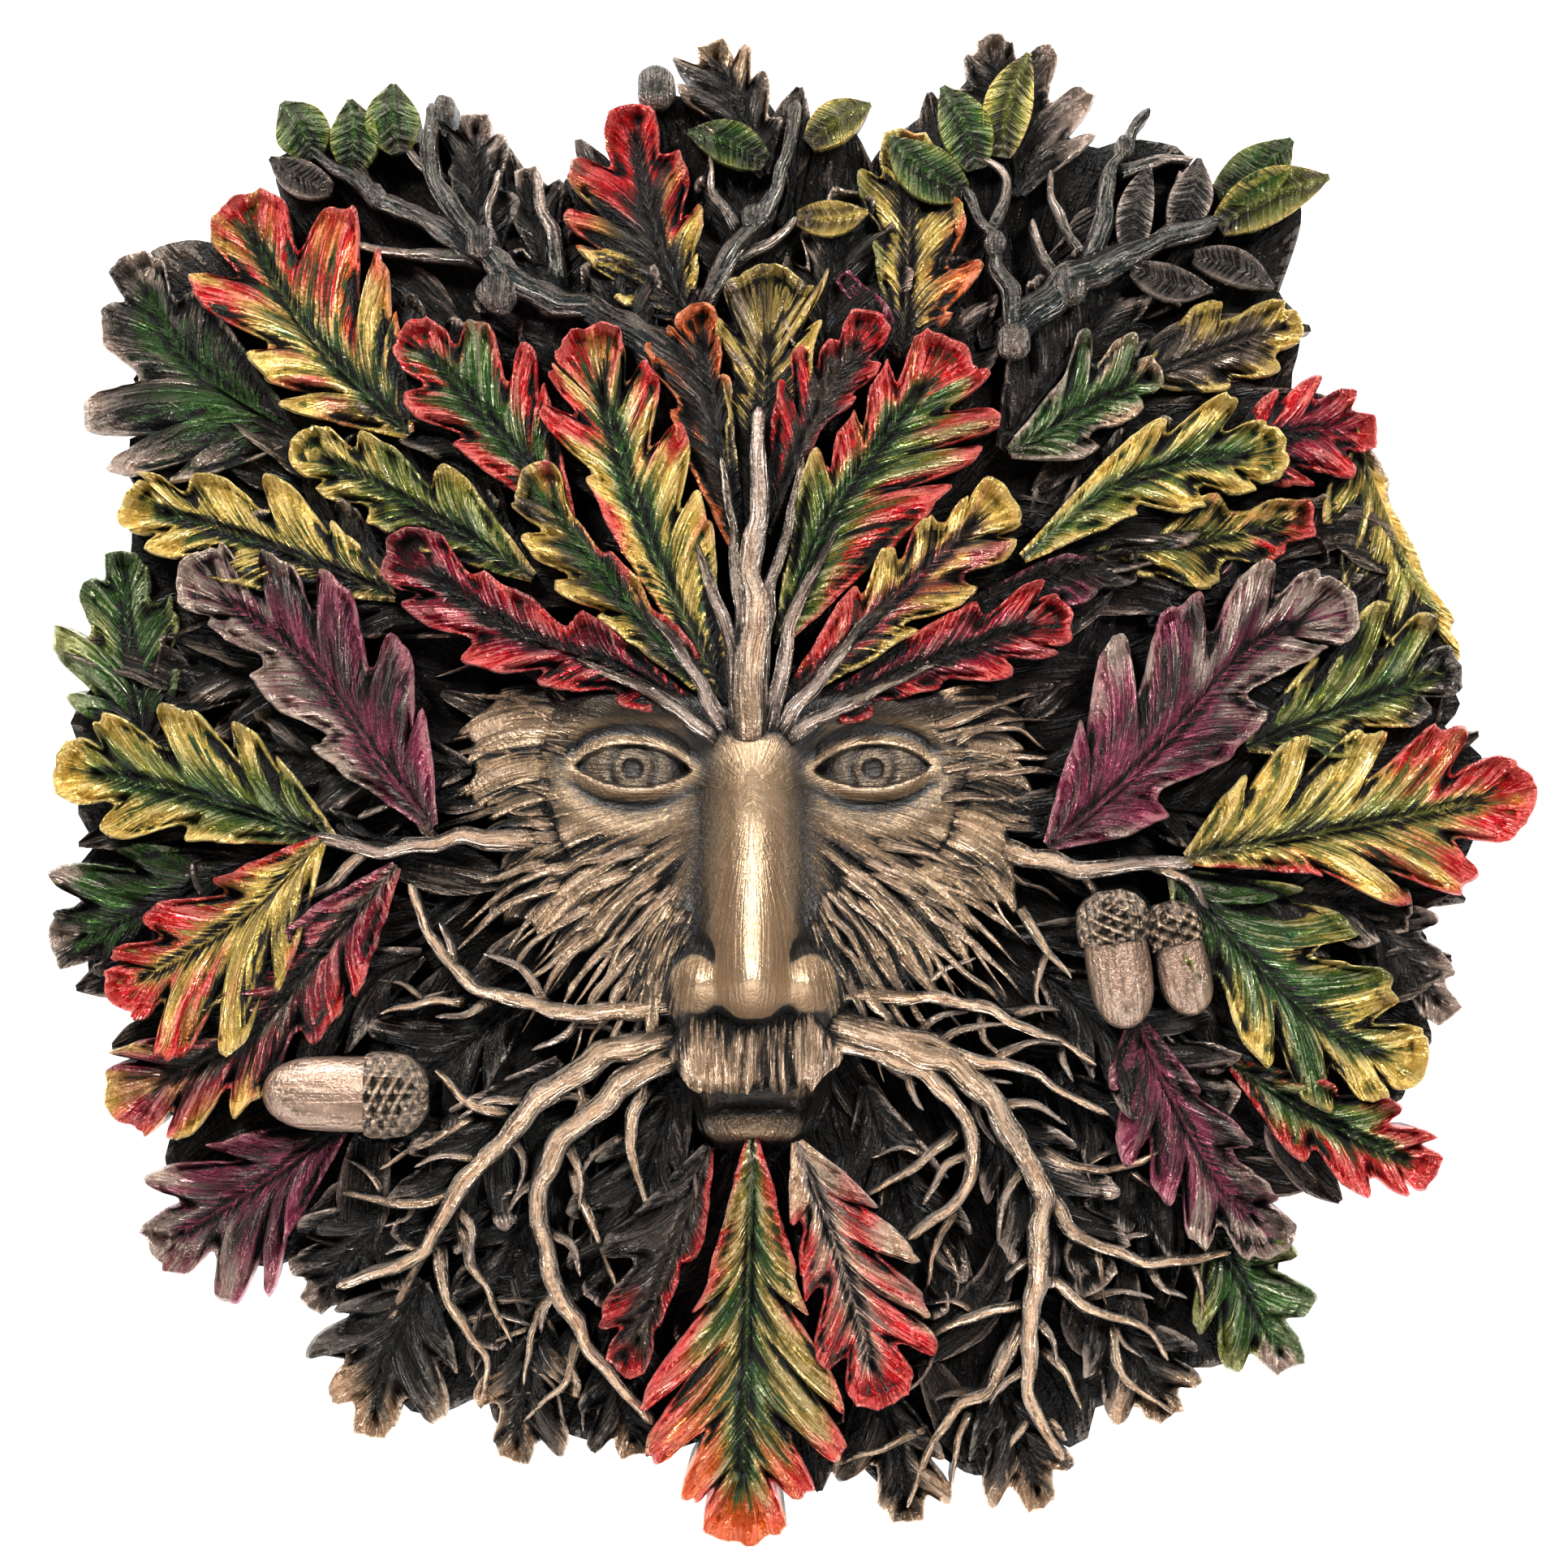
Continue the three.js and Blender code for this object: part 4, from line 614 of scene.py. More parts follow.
for number, (x0, z0, x1, z1, half, colour) in enumerate(OVALS):
    bend = turned(np.array([x1 - x0, z1 - z0]), math.pi / 2) * (0.06 if number % 2 else -0.06)
    line, length = smooth_line([(x0, z0), ((x0 + x1) / 2 + bend[0], (z0 + z1) / 2 + bend[1]), (x1, z1)])
    share = np.linspace(0, 1, int(length / 0.8) + 2)
    ahead = np.gradient(line(share), axis=0)
    ahead /= np.hypot(*ahead.T)[:, None]
    width = half * np.maximum(0.12, np.sin(np.pi * np.minimum(1, 0.9 * share + 0.1)) ** 0.8)
    side = np.sin(np.linspace(-np.pi / 2, np.pi / 2, 13))[None]
    place = line(share)[:, None] + turned(ahead, -math.pi / 2)[:, None] * (side * width[:, None])[..., None]
    x, z = place[..., 0], place[..., 1]
    edge = np.abs(side)
    out = edge * width[:, None]
    height = dome(x, z) + LOW + OVAL_RISE + 0.9 * edge ** 2 + 0.9 * bump(out, 0.55)
    height += 0.5 * (noise(share[:, None] * length / 1.6 + 9 * number, side * 2 + 5, 23) - 0.5) * (1 - edge)
    height += 1.5 * (np.sin(np.pi * share) - 0.6)[:, None] - np.where(edge > 0.99, 0.7, 0)
    streak = 0.3 * (noise(share[:, None] * length / 1.3, out / 4 + number, 29) - 0.5)
    blade = "slate" if colour == "silver" else colour
    paint = mixed(blade, OVAL_RIMS[colour], ramp(edge + streak, 0.7, 1.0))
    foot = 0.5 * ramp(0.4 - share[:, None], 0, 0.3) * (1 - edge)
    paint = mixed(paint, "soot", 0.8 * bump(out - 1.1, 0.8) + foot)
    grain = (share[:, None] * length + 0.6 * out + 40 * number, out)
    carve(f"oval_{number}", x, z, height, paint, grain, line(0.5), 0.85, shine=0.45)

# Twigs
# Gnarled twigs with knots and short side shoots, and the stalks of the leaves at the cheeks.
# They stand a little above the leaves behind them and are left dark, with worn bronze on the bark.
def arch(side):
    """Round back of a form, 1 in the middle and 0 at its sides."""
    return np.sqrt(np.maximum(0, 1 - side ** 2))


def ribbon(name, points, half, lift, colours, taper=0.72, crown=1.0, rough=0.3, seed=0, columns=9,
           under=dome, fall=0.0, shine=1.0):
    """A round-backed form along a line, painted with one colour at its start and another at its end.

    It lies lift above the surface under it, thins by the share taper and sinks by fall at its end.
    """
    line, length = smooth_line(points)
    share = np.linspace(0, 1, int(length) + 3)
    run = share * length
    ahead = np.gradient(line(share), axis=0)
    ahead /= np.hypot(*ahead.T)[:, None]
    across = turned(ahead, -math.pi / 2)
    sway = (0.5 + rough) * min(half, 1.6) * (noise(run / 4.5, run * 0 + seed, 31) - 0.5)
    sway = sway * np.sin(np.pi * share)
    middle = line(share) + across * sway[:, None]
    width = half * (1 - taper * share) * (1 + 0.5 * rough * (noise(run / 3.2, run * 0 + seed, 37) - 0.5))
    width *= np.sqrt(np.clip((1 - share) * length / (1.3 * half * (1 - taper)) + 0.12, 0, 1))
    side = np.sin(np.linspace(-np.pi / 2, np.pi / 2, columns))[None]
    place = middle[:, None] + across[:, None] * (side * width[:, None])[..., None]
    x, z = place[..., 0], place[..., 1]
    height = under(x, z) + lift + crown * width[:, None] * arch(side)
    height -= fall * share[:, None] ** 2
    height -= 3.5 * (np.maximum(0, 1 - run / (3.2 * half)) ** 2)[:, None]
    grooves = noise(side * 2.6 + seed, run[:, None] / 5, 41) - 0.5
    knots = noise(side * 1.2 + seed, run[:, None] / 2.4, 43) - 0.5
    height += rough * min(half, 2.2) * (0.7 * grooves + 0.5 * knots) * arch(side)
    paint = mixed(*colours.split(), ramp(share[:, None] + 0.3 * grooves, 0.2, 0.8))
    # The sides darken to soot: partly the black wash, partly painted shade where the round back turns away
    paint = mixed(paint, "soot", 0.92 * ramp(np.abs(side) + 0.5 * grooves, 0.36, 0.88))
    grain = (side * width[:, None] * 1.2 + 31 * seed, run[:, None])
    carve(name, x, z, height, paint, grain, line(0.5), shine=shine)


TWIGS = [
    # points from the thick end, half width, lift
    ([(-13, 64), (-24, 72), (-36, 78), (-43, 81), (-49, 87)], 4.0, 7),
    ([(-47, 84), (-52, 92), (-56, 98), (-57, 110)], 2, 6.5),
    ([(-47, 84), (-58, 90), (-66, 95), (-77, 103)], 2, 6.5), ([(-36, 80), (-38, 90), (-40, 99)], 1.4, 5.5),
    ([(-48, 85), (-60, 85), (-69, 87)], 1.2, 6),
    ([(-13, 76), (-9, 85), (-4, 92), (1, 101), (2, 110)], 1.9, 8),
    ([(-9, 83), (-3, 86), (2, 91)], 1.1, 8), ([(37, 70), (36, 78), (33, 88), (29, 96)], 1.6, 7),
    ([(33, 88), (36, 97), (32, 101)], 1.1, 7), ([(36, 72), (45, 80), (57, 86), (70, 91)], 3.2, 7),
    ([(48, 82), (52, 93), (55, 103), (59, 109)], 1.7, 7), ([(54, 99), (60, 100), (66, 101)], 1.1, 7),
    ([(51, 84), (57, 83), (64, 77)], 1.2, 6), ([(-54, 97), (-60, 101), (-63, 106)], 0.9, 6),
    ([(-64, 94), (-68, 99), (-70, 105)], 0.9, 6), ([(49, 84), (44, 92), (43, 99)], 0.9, 6),
    ([(60, 87), (63, 93), (64, 99)], 0.9, 6.5), ([(-7, 88), (-11, 95), (-12, 101)], 0.9, 7.5),
    ([(-46, 84), (-48, 92), (-46, 99)], 1.0, 6), ([(45, 80), (41, 86), (40, 91)], 1.0, 6),
]
STALKS = [
    ([(-38, -9), (-55, -9), (-64, -10.5), (-76, -8.5)], 1.8, 7.5),
    ([(34, -10), (45, -13), (66, -12.5)], 1.8, 8),
    ([(47, -13), (50, -18), (53, -22)], 0.9, 6), ([(-56, -9), (-60, -4), (-61, 0)], 0.9, 7),
    ([(-66, -10), (-72, -15), (-78, -19)], 1.1, 7), ([(58, -12.5), (64, -15), (68, -20)], 1.1, 7.5),
]

THICK_TWIG = 1.5

for number, (points, half, lift) in enumerate(TWIGS):
    colours, shine = ("bark bark", 0.6) if half > THICK_TWIG else ("bark silver", 0.8)
    ribbon(f"twig_{number}", points, half, lift, colours, taper=0.55, rough=1.0, seed=number, columns=11,
           shine=shine)
for number, (points, half, lift) in enumerate(STALKS):
    ribbon(f"stalk_{number}", points, half, lift, "bronze silver", taper=0.5, rough=0.5, seed=50 + number)

# Knots
# Round knots and broken ends on the twigs, and the bud at the top of the crown. They are cast with
# the twigs and keep their dark bark.
KNOTS = [
    # x, z, radius and lift
    (-46, 79, 3.3, 7.5), (-55, 109, 1.9, 7), (-49, 87, 2.3, 8), (46, 80, 2.8, 8), (37, 71, 2.6, 7.5),
    (-66, 95, 1.7, 6.8), (55, 103, 1.5, 7), (-5, 91, 1.8, 8.5), (34, 87, 1.7, 7.5), (-20.5, 112.5, 3.2, 5.5),
]

for number, (x0, z0, half, lift) in enumerate(KNOTS):
    angle = np.linspace(0, 2 * math.pi, 25)[None]
    share = np.sin(np.linspace(0, math.pi / 2, 9))[:, None]
    swell = 1 + 0.25 * (noise(np.abs(angle - math.pi) * 1.6 + number, 0 * angle, 45) - 0.5)
    x = x0 + half * share * swell * np.cos(angle)
    z = z0 + half * share * swell * np.sin(angle) * 1.15
    height = dome(x, z) + lift + 0.9 * half * arch(share)
    height += 0.9 * (noise(x / 1.4 + 90, z / 1.4 + 90, 46) - 0.5) - 0.8 * bump(share * half, 0.8)
    round_off(x, z, height)
    paint = mixed("bark", "silver", 0.4 * noise(x / 2 + 90, z / 2 + 90, 48))
    carve(f"knot_{number}", x, z, height, paint, (x, z), (x0, z0), shine=0.35)

# Roots
# The beard is a tangle of roots that leave the upper lip like a moustache and branch downward.
# They are bronze on top and sink into the black of the ground between them.
ROOTS = [
    # points from the lip, half width, lift
    ([(-15, -40), (-30, -44), (-42, -53), (-51, -64), (-58, -75), (-72, -81)], 2.6, 8),
    ([(-58, -75), (-62, -84), (-70, -92)], 1.2, 5),
    ([(-56, -74), (-53, -86), (-48, -92), (-49, -101)], 1.2, 5),
    ([(-43, -53), (-51, -51), (-56, -46)], 1.2, 6),
    ([(-14, -35), (-30, -36), (-45, -35), (-54, -29), (-60, -16)], 1.9, 8),
    ([(-14, -41), (-27, -49), (-38, -62), (-37, -78), (-31, -91), (-21, -103)], 2.5, 8),
    ([(-22, -48), (-25, -58), (-22, -68)], 1.3, 6.5),
    ([(5, -40), (20, -45), (30, -54), (30, -64), (20, -73)], 2, 8),
    ([(5, -38), (20, -42), (33, -50), (41, -66), (40, -84), (40, -100), (45, -109)], 2.9, 8),
    ([(10, -38), (25, -42), (40, -47), (52, -53)], 1.6, 8),
    ([(6, -34), (24, -34), (38, -38), (50, -45)], 1.5, 7.5), ([(41, -59), (52, -62.5), (62, -58)], 1, 6),
    ([(41, -64), (48, -73), (60, -77.5), (72, -75.5)], 1.5, 6.5),
    ([(41, -78), (50, -85), (58, -88), (62, -93)], 1.3, 6), ([(39, -84), (30, -86), (20, -91)], 1, 5.5),
    ([(39, -86), (34, -96), (25, -104), (20, -117)], 1.4, 5), ([(-53, -69), (-50, -78), (-44, -90)], 1, 5),
    ([(-49, -53), (-57, -57), (-65, -62)], 1, 5.5), ([(-51, -35), (-58, -35), (-65, -37)], 0.9, 6),
    ([(-33, -88), (-36, -97), (-42, -103)], 0.9, 4.5), ([(-34, -61), (-32, -68), (-27, -81)], 1, 5.5),
    ([(28, -68), (24, -76), (23, -81)], 0.9, 5), ([(50, -74), (51, -79), (52, -84)], 0.8, 5),
    ([(53, -87), (55, -96), (63, -102)], 1, 5), ([(24, -104), (16, -107), (9, -110)], 0.9, 4.5),
    ([(30, -101), (28, -107), (27, -114)], 0.8, 4.5), ([(40, -102), (36, -108), (36, -113)], 0.8, 4.5),
    ([(66, -77), (67, -82), (68, -87)], 0.8, 5), ([(38, -20), (42, -26), (46, -31)], 1, 7),
    ([(-50, -64), (-58, -67), (-71, -66)], 1.1, 6), ([(28, -56), (20, -62), (13, -66)], 1, 6),
    ([(41, -91), (46, -95), (48, -101)], 1, 5), ([(-36, -80), (-41, -89), (-42, -97)], 0.9, 5),
]
SHOOT_GAP = 9
SHOOT_REACH = 7.5
SHOOT_HALF = 0.95
SHOOT_DROP = 1.6
THICK_ROOT = 1.5
FURTHEST = 112


def on_chin_leaf(end):
    return abs(end[0] + 6) < 18 and end[1] < -50


for number, (points, half, lift) in enumerate(ROOTS):
    ribbon(f"root_{number}", points, half, lift, "bronze bronze", rough=0.75, seed=100 + number, columns=11)
    line, length = smooth_line(points)
    # Thin shoots leave it to either side in turn
    for shoot in range(int(length / SHOOT_GAP) - (half > THICK_ROOT)):
        share = (shoot + 1 + 0.5 * lattice(shoot, number, 3)) * SHOOT_GAP / (length + SHOOT_GAP)
        side = 1 if (shoot + number) % 2 else -1
        ahead = line(share + 0.02) - line(share)
        heading = turned(ahead / np.hypot(*ahead), side * (0.75 + 0.4 * lattice(number, shoot, 5)))
        reach = (SHOOT_REACH + 8 * lattice(shoot, number, 7)) * (1.1 - 0.4 * share)
        start = line(share)
        middle = start + heading * reach * 0.5
        end = middle + turned(heading, -side * 0.55) * reach * 0.5
        if np.hypot(*end) < FURTHEST and not on_chin_leaf(end):
            ribbon(f"shoot_{number}_{shoot}", [start, middle, end], min(SHOOT_HALF, half * 0.6),
                   lift - SHOOT_DROP, "bronze silver", rough=0.5, seed=200 + 9 * number + shoot, columns=7)

# Acorns
# Two acorns hang at the right cheek and one lies at the left, each a smooth nut in a scaly cup.
# They are carved half round, in pinkish bronze spotted with darker brown.
ACORNS = [
    # top of the cup, tip of the nut, half width and lift
    (52, -17, 55, -39, 5.2, 8), (61, -19, 66, -37, 4.4, 6.5), (-57, -50, -83.5, -49.5, 6, 9),
]
CUP_SHARE = 0.38
CUP_WIDER = 1.16
# half width of the cup along its length
CUP_PROFILE = ([0, 0.12, 0.33, 0.67, 0.97, 1], [0.35, 0.68, 0.92, 1, 0.98, 0.93])
SCALE_LENGTH = 2.1
SCALES_ROUND = 9
NUT_BROWN = (0.36, 0.235, 0.17, 1)

for number, (x0, z0, x1, z1, half, lift) in enumerate(ACORNS):
    for shape, first, last, wide in (("nut", 0.1, 1, 1), ("cup", 0, CUP_SHARE, CUP_WIDER)):
        start, end = (np.array([x0, z0]) + at * np.array([x1 - x0, z1 - z0]) for at in (first, last))
        length = math.dist(start, end)
        share = np.linspace(0, 1, int(length / 0.55) + 2)[:, None]
        if shape == "nut":
            width = np.maximum(0.15, np.sqrt(np.maximum(0, 1 - (1.6 * share - 0.62) ** 4)))
            width = np.minimum(width, np.sqrt(np.maximum(0.0, 1.02 - share ** 5)) + 0.06)
        else:
            width = np.interp(share, *CUP_PROFILE)
        width = width * half * wide
        side = np.sin(np.linspace(-np.pi / 2, np.pi / 2, 21))[None]
        ahead = (end - start) / length
        across = turned(ahead, -math.pi / 2)
        place = start + ahead * (share * length)[..., None] + across * (side * width)[..., None]
        x, z = place[..., 0], place[..., 1]
        height = dome(x, z) + lift + 0.85 * width * arch(side)
        if shape == "nut":
            height = height + 0.5 * bump((1 - share) * length - 0.2, 0.5) * bump(side * width, 0.9)
            spots = ramp(noise(x / 0.9 + 50, z / 0.9 + 50, 47), 0.55, 0.8)
            paint = mixed(NUT_BROWN, "umber", 0.15 + 0.8 * spots)
            paint[..., 3] = 0.12
        else:
            # Rows of scales cross each other in a net of raised edges
            angle = np.arcsin(side) / np.pi * SCALES_ROUND
            row = share * length / SCALE_LENGTH
            rising, falling = (np.abs(np.sin(np.pi * (row + slope * angle))) for slope in (0.5, -0.5))
            net = 1 - ramp(rising * falling, 0.05, 0.45)
            height = height + 1.0 * net - 0.3
            paint = mixed("soot", "bronze", 0.75 * net)
            paint[..., 3] = 0.5
        grain = (side * width * 0.5 + 77 * number, share * length * 0.5)
        carve(f"{shape}_{number}", x, z, height, paint, grain, (start + end) / 2, 0.95, shine=0.6)

# Face
# A calm, plain face on the usual proportions: five eye widths wide, with brow, nose and chin a third
# of its height apart. It is carved smooth and worn to bare bronze.
FACE_WIDTH = 96
FACE_X = -5
BROW_Z = 12
EYE_WIDTH = FACE_WIDTH / 5
FACE_THIRD = FACE_WIDTH / 2
NOSE_BASE_Z = BROW_Z - FACE_THIRD
MOUTH_Z = NOSE_BASE_Z - FACE_THIRD / 3
EYE_Z = BROW_Z - EYE_WIDTH * 0.5
NOSE_HEIGHT = (cad_box[1].y - cad_box[0].y) / MM
FACE_EDGE_HEIGHT = 15
FACE_BULGE = 10
EYE_HALF = 9.2
EYE_TOP = 23.6
EYE_RADIUS = 11
LID_THICKNESS = 1.3
IRIS_RADIUS = 3.7
UPPER_LID = 3.9
LOWER_LID = 2.9
WING_SIDE = 9.4
WING_RADIUS = 3.4
WING_RISE = 6.0
LOWER_LIP_HALF = 6.5
FACE_ROWS = 150
FACE_COLUMNS = 152
# half width of the face at heights from the chin up, and of the nose with its ridge from the brow down
FACE_PLAN = ([-58, -50, -38, -20, 0, 18], [9, 13, 18, 29, 38, 40])
NOSE_RIDGE = ([-0.2, 0, 0.12, 0.5, 0.8, 0.9, 0.98, 1.07], [24, 27, 28.5, 34.5, 39.5, 41, 37, 24])
NOSE_HALF = ([-0.2, 0.1, 0.4, 0.75, 1.0], [6.0, 4.5, 4.9, 6.3, 7.2])
# the hair is combed outward from one place, in lines that bend a little
HAIR_Z = -2
HAIR_BEND = 0.22
HAIR_SPAN = 48
SKIN = mixed("bronze", "gold", 0.08)


def melt(first, second, width):
    """The higher of two surfaces, with the corner between them rounded off."""
    return 0.5 * (first + second + np.sqrt((first - second) ** 2 + width ** 2))


def skull(x, z):
    """Front of the head without nose, eyes and mouth: brow, sockets, cheeks and upper lip."""
    side = np.abs(x - FACE_X)
    eye = side - EYE_WIDTH
    away = (side / (FACE_WIDTH * 0.58)) ** 2
    height = FACE_EDGE_HEIGHT + FACE_BULGE * (1 - away - ((z + 10) / FACE_WIDTH) ** 2)
    height += 3.5 * bump(z - BROW_Z + 0.01 * eye ** 2, 4.5) * bump(eye, EYE_WIDTH)
    height -= 4.5 * bump(np.hypot(eye / 1.3, z - EYE_Z), EYE_WIDTH * 0.45)
    height += 2.5 * bump(np.hypot(side - EYE_WIDTH * 1.4, z - NOSE_BASE_Z - EYE_WIDTH), EYE_WIDTH * 0.6)
    return height + 1.5 * bump(side, 12) * bump(z - MOUTH_Z - 8, 10)


def swept(x, z):
    """How far a place lies along the combed lines, and on which of them."""
    away = np.hypot(x - FACE_X, z - HAIR_Z)
    return away, np.arctan2(z - HAIR_Z, np.abs(x - FACE_X)) + HAIR_BEND * (away / HAIR_SPAN) ** 2


def combed(x, z):
    """Relief of the combed hair: broad locks and the strands in them, all running outward."""
    away, angle = swept(x, z)
    angle = angle + 3 * (x > FACE_X)
    locks = noise(angle * 8 + 40, away / 34, 81) - 0.5
    strands = noise(angle * 19 + 80, away / 18, 82) - 0.5
    fine = noise(angle * 42 + 90, away / 12, 84) - 0.5
    return 3.0 * locks + 2.4 * strands + 1.3 * fine


def stain_and_shade(paint, colour, share):
    """A paint with a share of another colour over it, for stains and for painted shade, and its own streaks.
    """
    return np.concatenate([mixed(paint, colour, share)[..., :3], paint[..., 3:]], axis=-1)


# Rows lie closer at the eyes and columns closer beside the nose
z = np.interp(np.linspace(0, 1, FACE_ROWS), [0, 0.09, 0.38, 1], [BROW_Z + 7, 9, -4.5, MOUTH_Z - 7])[:, None]
half_face = np.interp(z, *FACE_PLAN)
share = np.linspace(0, 1, FACE_COLUMNS // 2)
share = np.interp(share, [0, 0.15, 0.85, 1], [0, 0.22, 0.78, 1])
share = np.concatenate([-share[:0:-1], share])[None]
x = FACE_X + half_face * share
z = z + 0 * x
side = np.abs(x - FACE_X)
height = skull(x, z)
# Nose: its ridge, wings and tip, the crease round each wing and the nostrils
down = (BROW_Z - z) / FACE_THIRD
low = z - NOSE_BASE_Z
ridge = np.interp(down, *NOSE_RIDGE)
half_nose = np.interp(down, *NOSE_HALF)
height = height + np.maximum(0, ridge - height) * np.exp(-np.abs(side / half_nose) ** 2.1)
wing = np.hypot(side - WING_SIDE, (low - 4.6) * 0.85)
height += 3.4 * bump(side, 5.4) * bump(low - 6.4, 5.6) + WING_RISE * bump(wing, WING_RADIUS)
height -= 2.0 * bump(wing - 5.0, 0.9) * ramp(low, 3, 8) * ramp(side, 4.5, 7.5)
height -= 0.7 * bump(side - 6.0, 1.2) * bump(low - 4.0, 3.0)
height -= 3.2 * bump(side - 4.9, 1.8) * bump(low + 0.4, 1.6)
for _ in range(5):
    inner = (height[:-2, 1:-1] + height[2:, 1:-1] + height[1:-1, :-2] + height[1:-1, 2:]) / 4
    height[1:-1, 1:-1] += (inner - height[1:-1, 1:-1]) * 0.6
# Eyes: the lids wrap a ball, and open in an almond with a drilled iris and pupil
eye = side - EYE_WIDTH
up = z - EYE_Z - 0.04 * eye
open_share = np.maximum(0, 1 - (eye / EYE_HALF) ** 2)
lid = np.where(up > 0, up - UPPER_LID * open_share ** 0.75, -up - LOWER_LID * open_share ** 0.9)
lid = np.where(np.abs(eye) < EYE_HALF, lid, np.hypot(np.abs(eye) - EYE_HALF, up))
sphere = (eye ** 2 + up ** 2) / (2 * EYE_RADIUS)
height = melt(height, EYE_TOP + LID_THICKNESS - 1.25 * sphere - 0.02 * up ** 4 / 10, 1.4)
crease = bump(lid - 3.1, 0.75) * ramp(12.5 - np.abs(eye), 0, 4)
height += 0.55 * bump(lid - 0.7, 0.7) - np.where(up > 0, 0.9, 0.45) * crease
reach = np.hypot(eye, z - EYE_Z)
eyeball = EYE_TOP - sphere - 0.55 * bump(reach - IRIS_RADIUS, 0.5) - 1.1 * ramp(1.9 - reach, 0, 0.7)
height += (np.minimum(height, eyeball) - height) * ramp(-lid, -0.15, 0.35)
# Mouth: the parting line, the lower lip, the hollow under it and the hair on the chin
parted = z - MOUTH_Z + 0.012 * side ** 2
lip = 2.8 * bump(parted + 3.4, 2.3) * bump(side, LOWER_LIP_HALF)
height += lip - 2.2 * bump(parted, 0.9) * ramp(10 - side, 0, 5)
height -= 1.8 * bump(parted + 8, 2.2)
strands = noise(x / 1.3 + 50, z / 7 + 50, 86) - 0.5
height += 1.6 * strands * ramp(-2 - parted, 0, 3) * (1 - 0.6 * bump(side, 5))
# The hair starts on the cheeks and temples
brushed = ramp(np.hypot(eye / 1.25, z - EYE_Z), 9, 13)
brushed = brushed * ramp(side - half_nose, 4, 9) * ramp(BROW_Z - z, -2, 4)
height += 0.8 * brushed * combed(x, z)
falls_from = np.interp(z, [-60, -44, -24], [0.5, 0.55, 0.88])
height -= 9 * ramp(np.abs(share), falls_from, 1.0) + 5 * ramp(z, BROW_Z + 1, BROW_Z + 7)
height -= 6 * ramp(MOUTH_Z - 3.5 - z, 0, 3.5)
height = np.minimum(height, NOSE_HEIGHT)
# Bronze skin, browner beside the nose, with dark eyes, and painted shade at the sockets, brows and mouth
paint = np.array(np.broadcast_to(SKIN, (*x.shape, 4)))
paint[..., 3] = 0.06 + 0.8 * np.maximum(brushed, ramp(-parted, 0, 3))
paint = stain_and_shade(paint, "umber", 0.35 * ramp(side - half_nose, 1, 6) * (1 - brushed))
dark = np.where(lid < 0.3, 0.8 + 0.2 * bump(reach - IRIS_RADIUS, 0.7) + 0.6 * bump(reach, 1.4), 0)
paint = stain_and_shade(paint, "slate", np.clip(0.9 * dark, 0, 1))
# Sockets and the sides of the nose: the dark wash and painted shade together; under the brows: painted shadow
# of the brow leaves
socket_wash_and_shade = bump(np.hypot(eye / 1.3, z - EYE_Z - 1.5), 10.5) * ramp(lid, 1.2, 2.6)
nose_side_wash_and_shade = bump(side - half_nose - 3.5, 3.4) * ramp(low, -2, 6) * ramp(wing, 3.5, 5.5)
socket_wash_and_shade = np.maximum(socket_wash_and_shade, nose_side_wash_and_shade * (1 - 0.7 * ramp(-lid, -3, 0)))
brow_painted_shadow = 0.95 * ramp(z, BROW_Z - 4.5, BROW_Z - 1) * ramp(side - half_nose, 0, 3)
paint = stain_and_shade(paint, "soot", np.maximum(0.95 * socket_wash_and_shade, brow_painted_shadow))
# The mouth and chin under the moustache are darkened as painted shade, the lower lip less
lip = bump(parted + 3.4, 2.0) * bump(side, LOWER_LIP_HALF)
paint = stain_and_shade(paint, "soot", ramp(MOUTH_Z + 5 - z, 0, 3) * (1 - 0.75 * lip))
away, angle = swept(x, z)
grain = (angle * 34, away * 0.7)
carve("face", x, z, height, paint, grain, (FACE_X, -15), 0.97, shine=0.2 + 0.8 * brushed)

# Hair
# Hair combed outward over the cheeks and temples to ragged pointed locks, with single locks on top.
# It is carved with the face, black between the strands and worn to bright bronze on them.
HAIR_ROWS = 46
HAIR_COLUMNS = 120
HAIR_ANGLES = (-1.34, 0.52)
HAIR_INNER = ([-1.34, -0.6, -0.2, 0.5], [13, 16, 29, 31])
HAIR_OUTER = ([-1.34, -0.9, 0.0, 0.5], [38, 47, 50, 49])
LAYERS = [
    # locks on a side, lowest and highest angle in degrees, inner radius, length, half width, lift
    (13, -66, -22, 20, 24, 1.0, 0.8), (22, -64, 26, 31, 21, 1.1, 0.2),
]

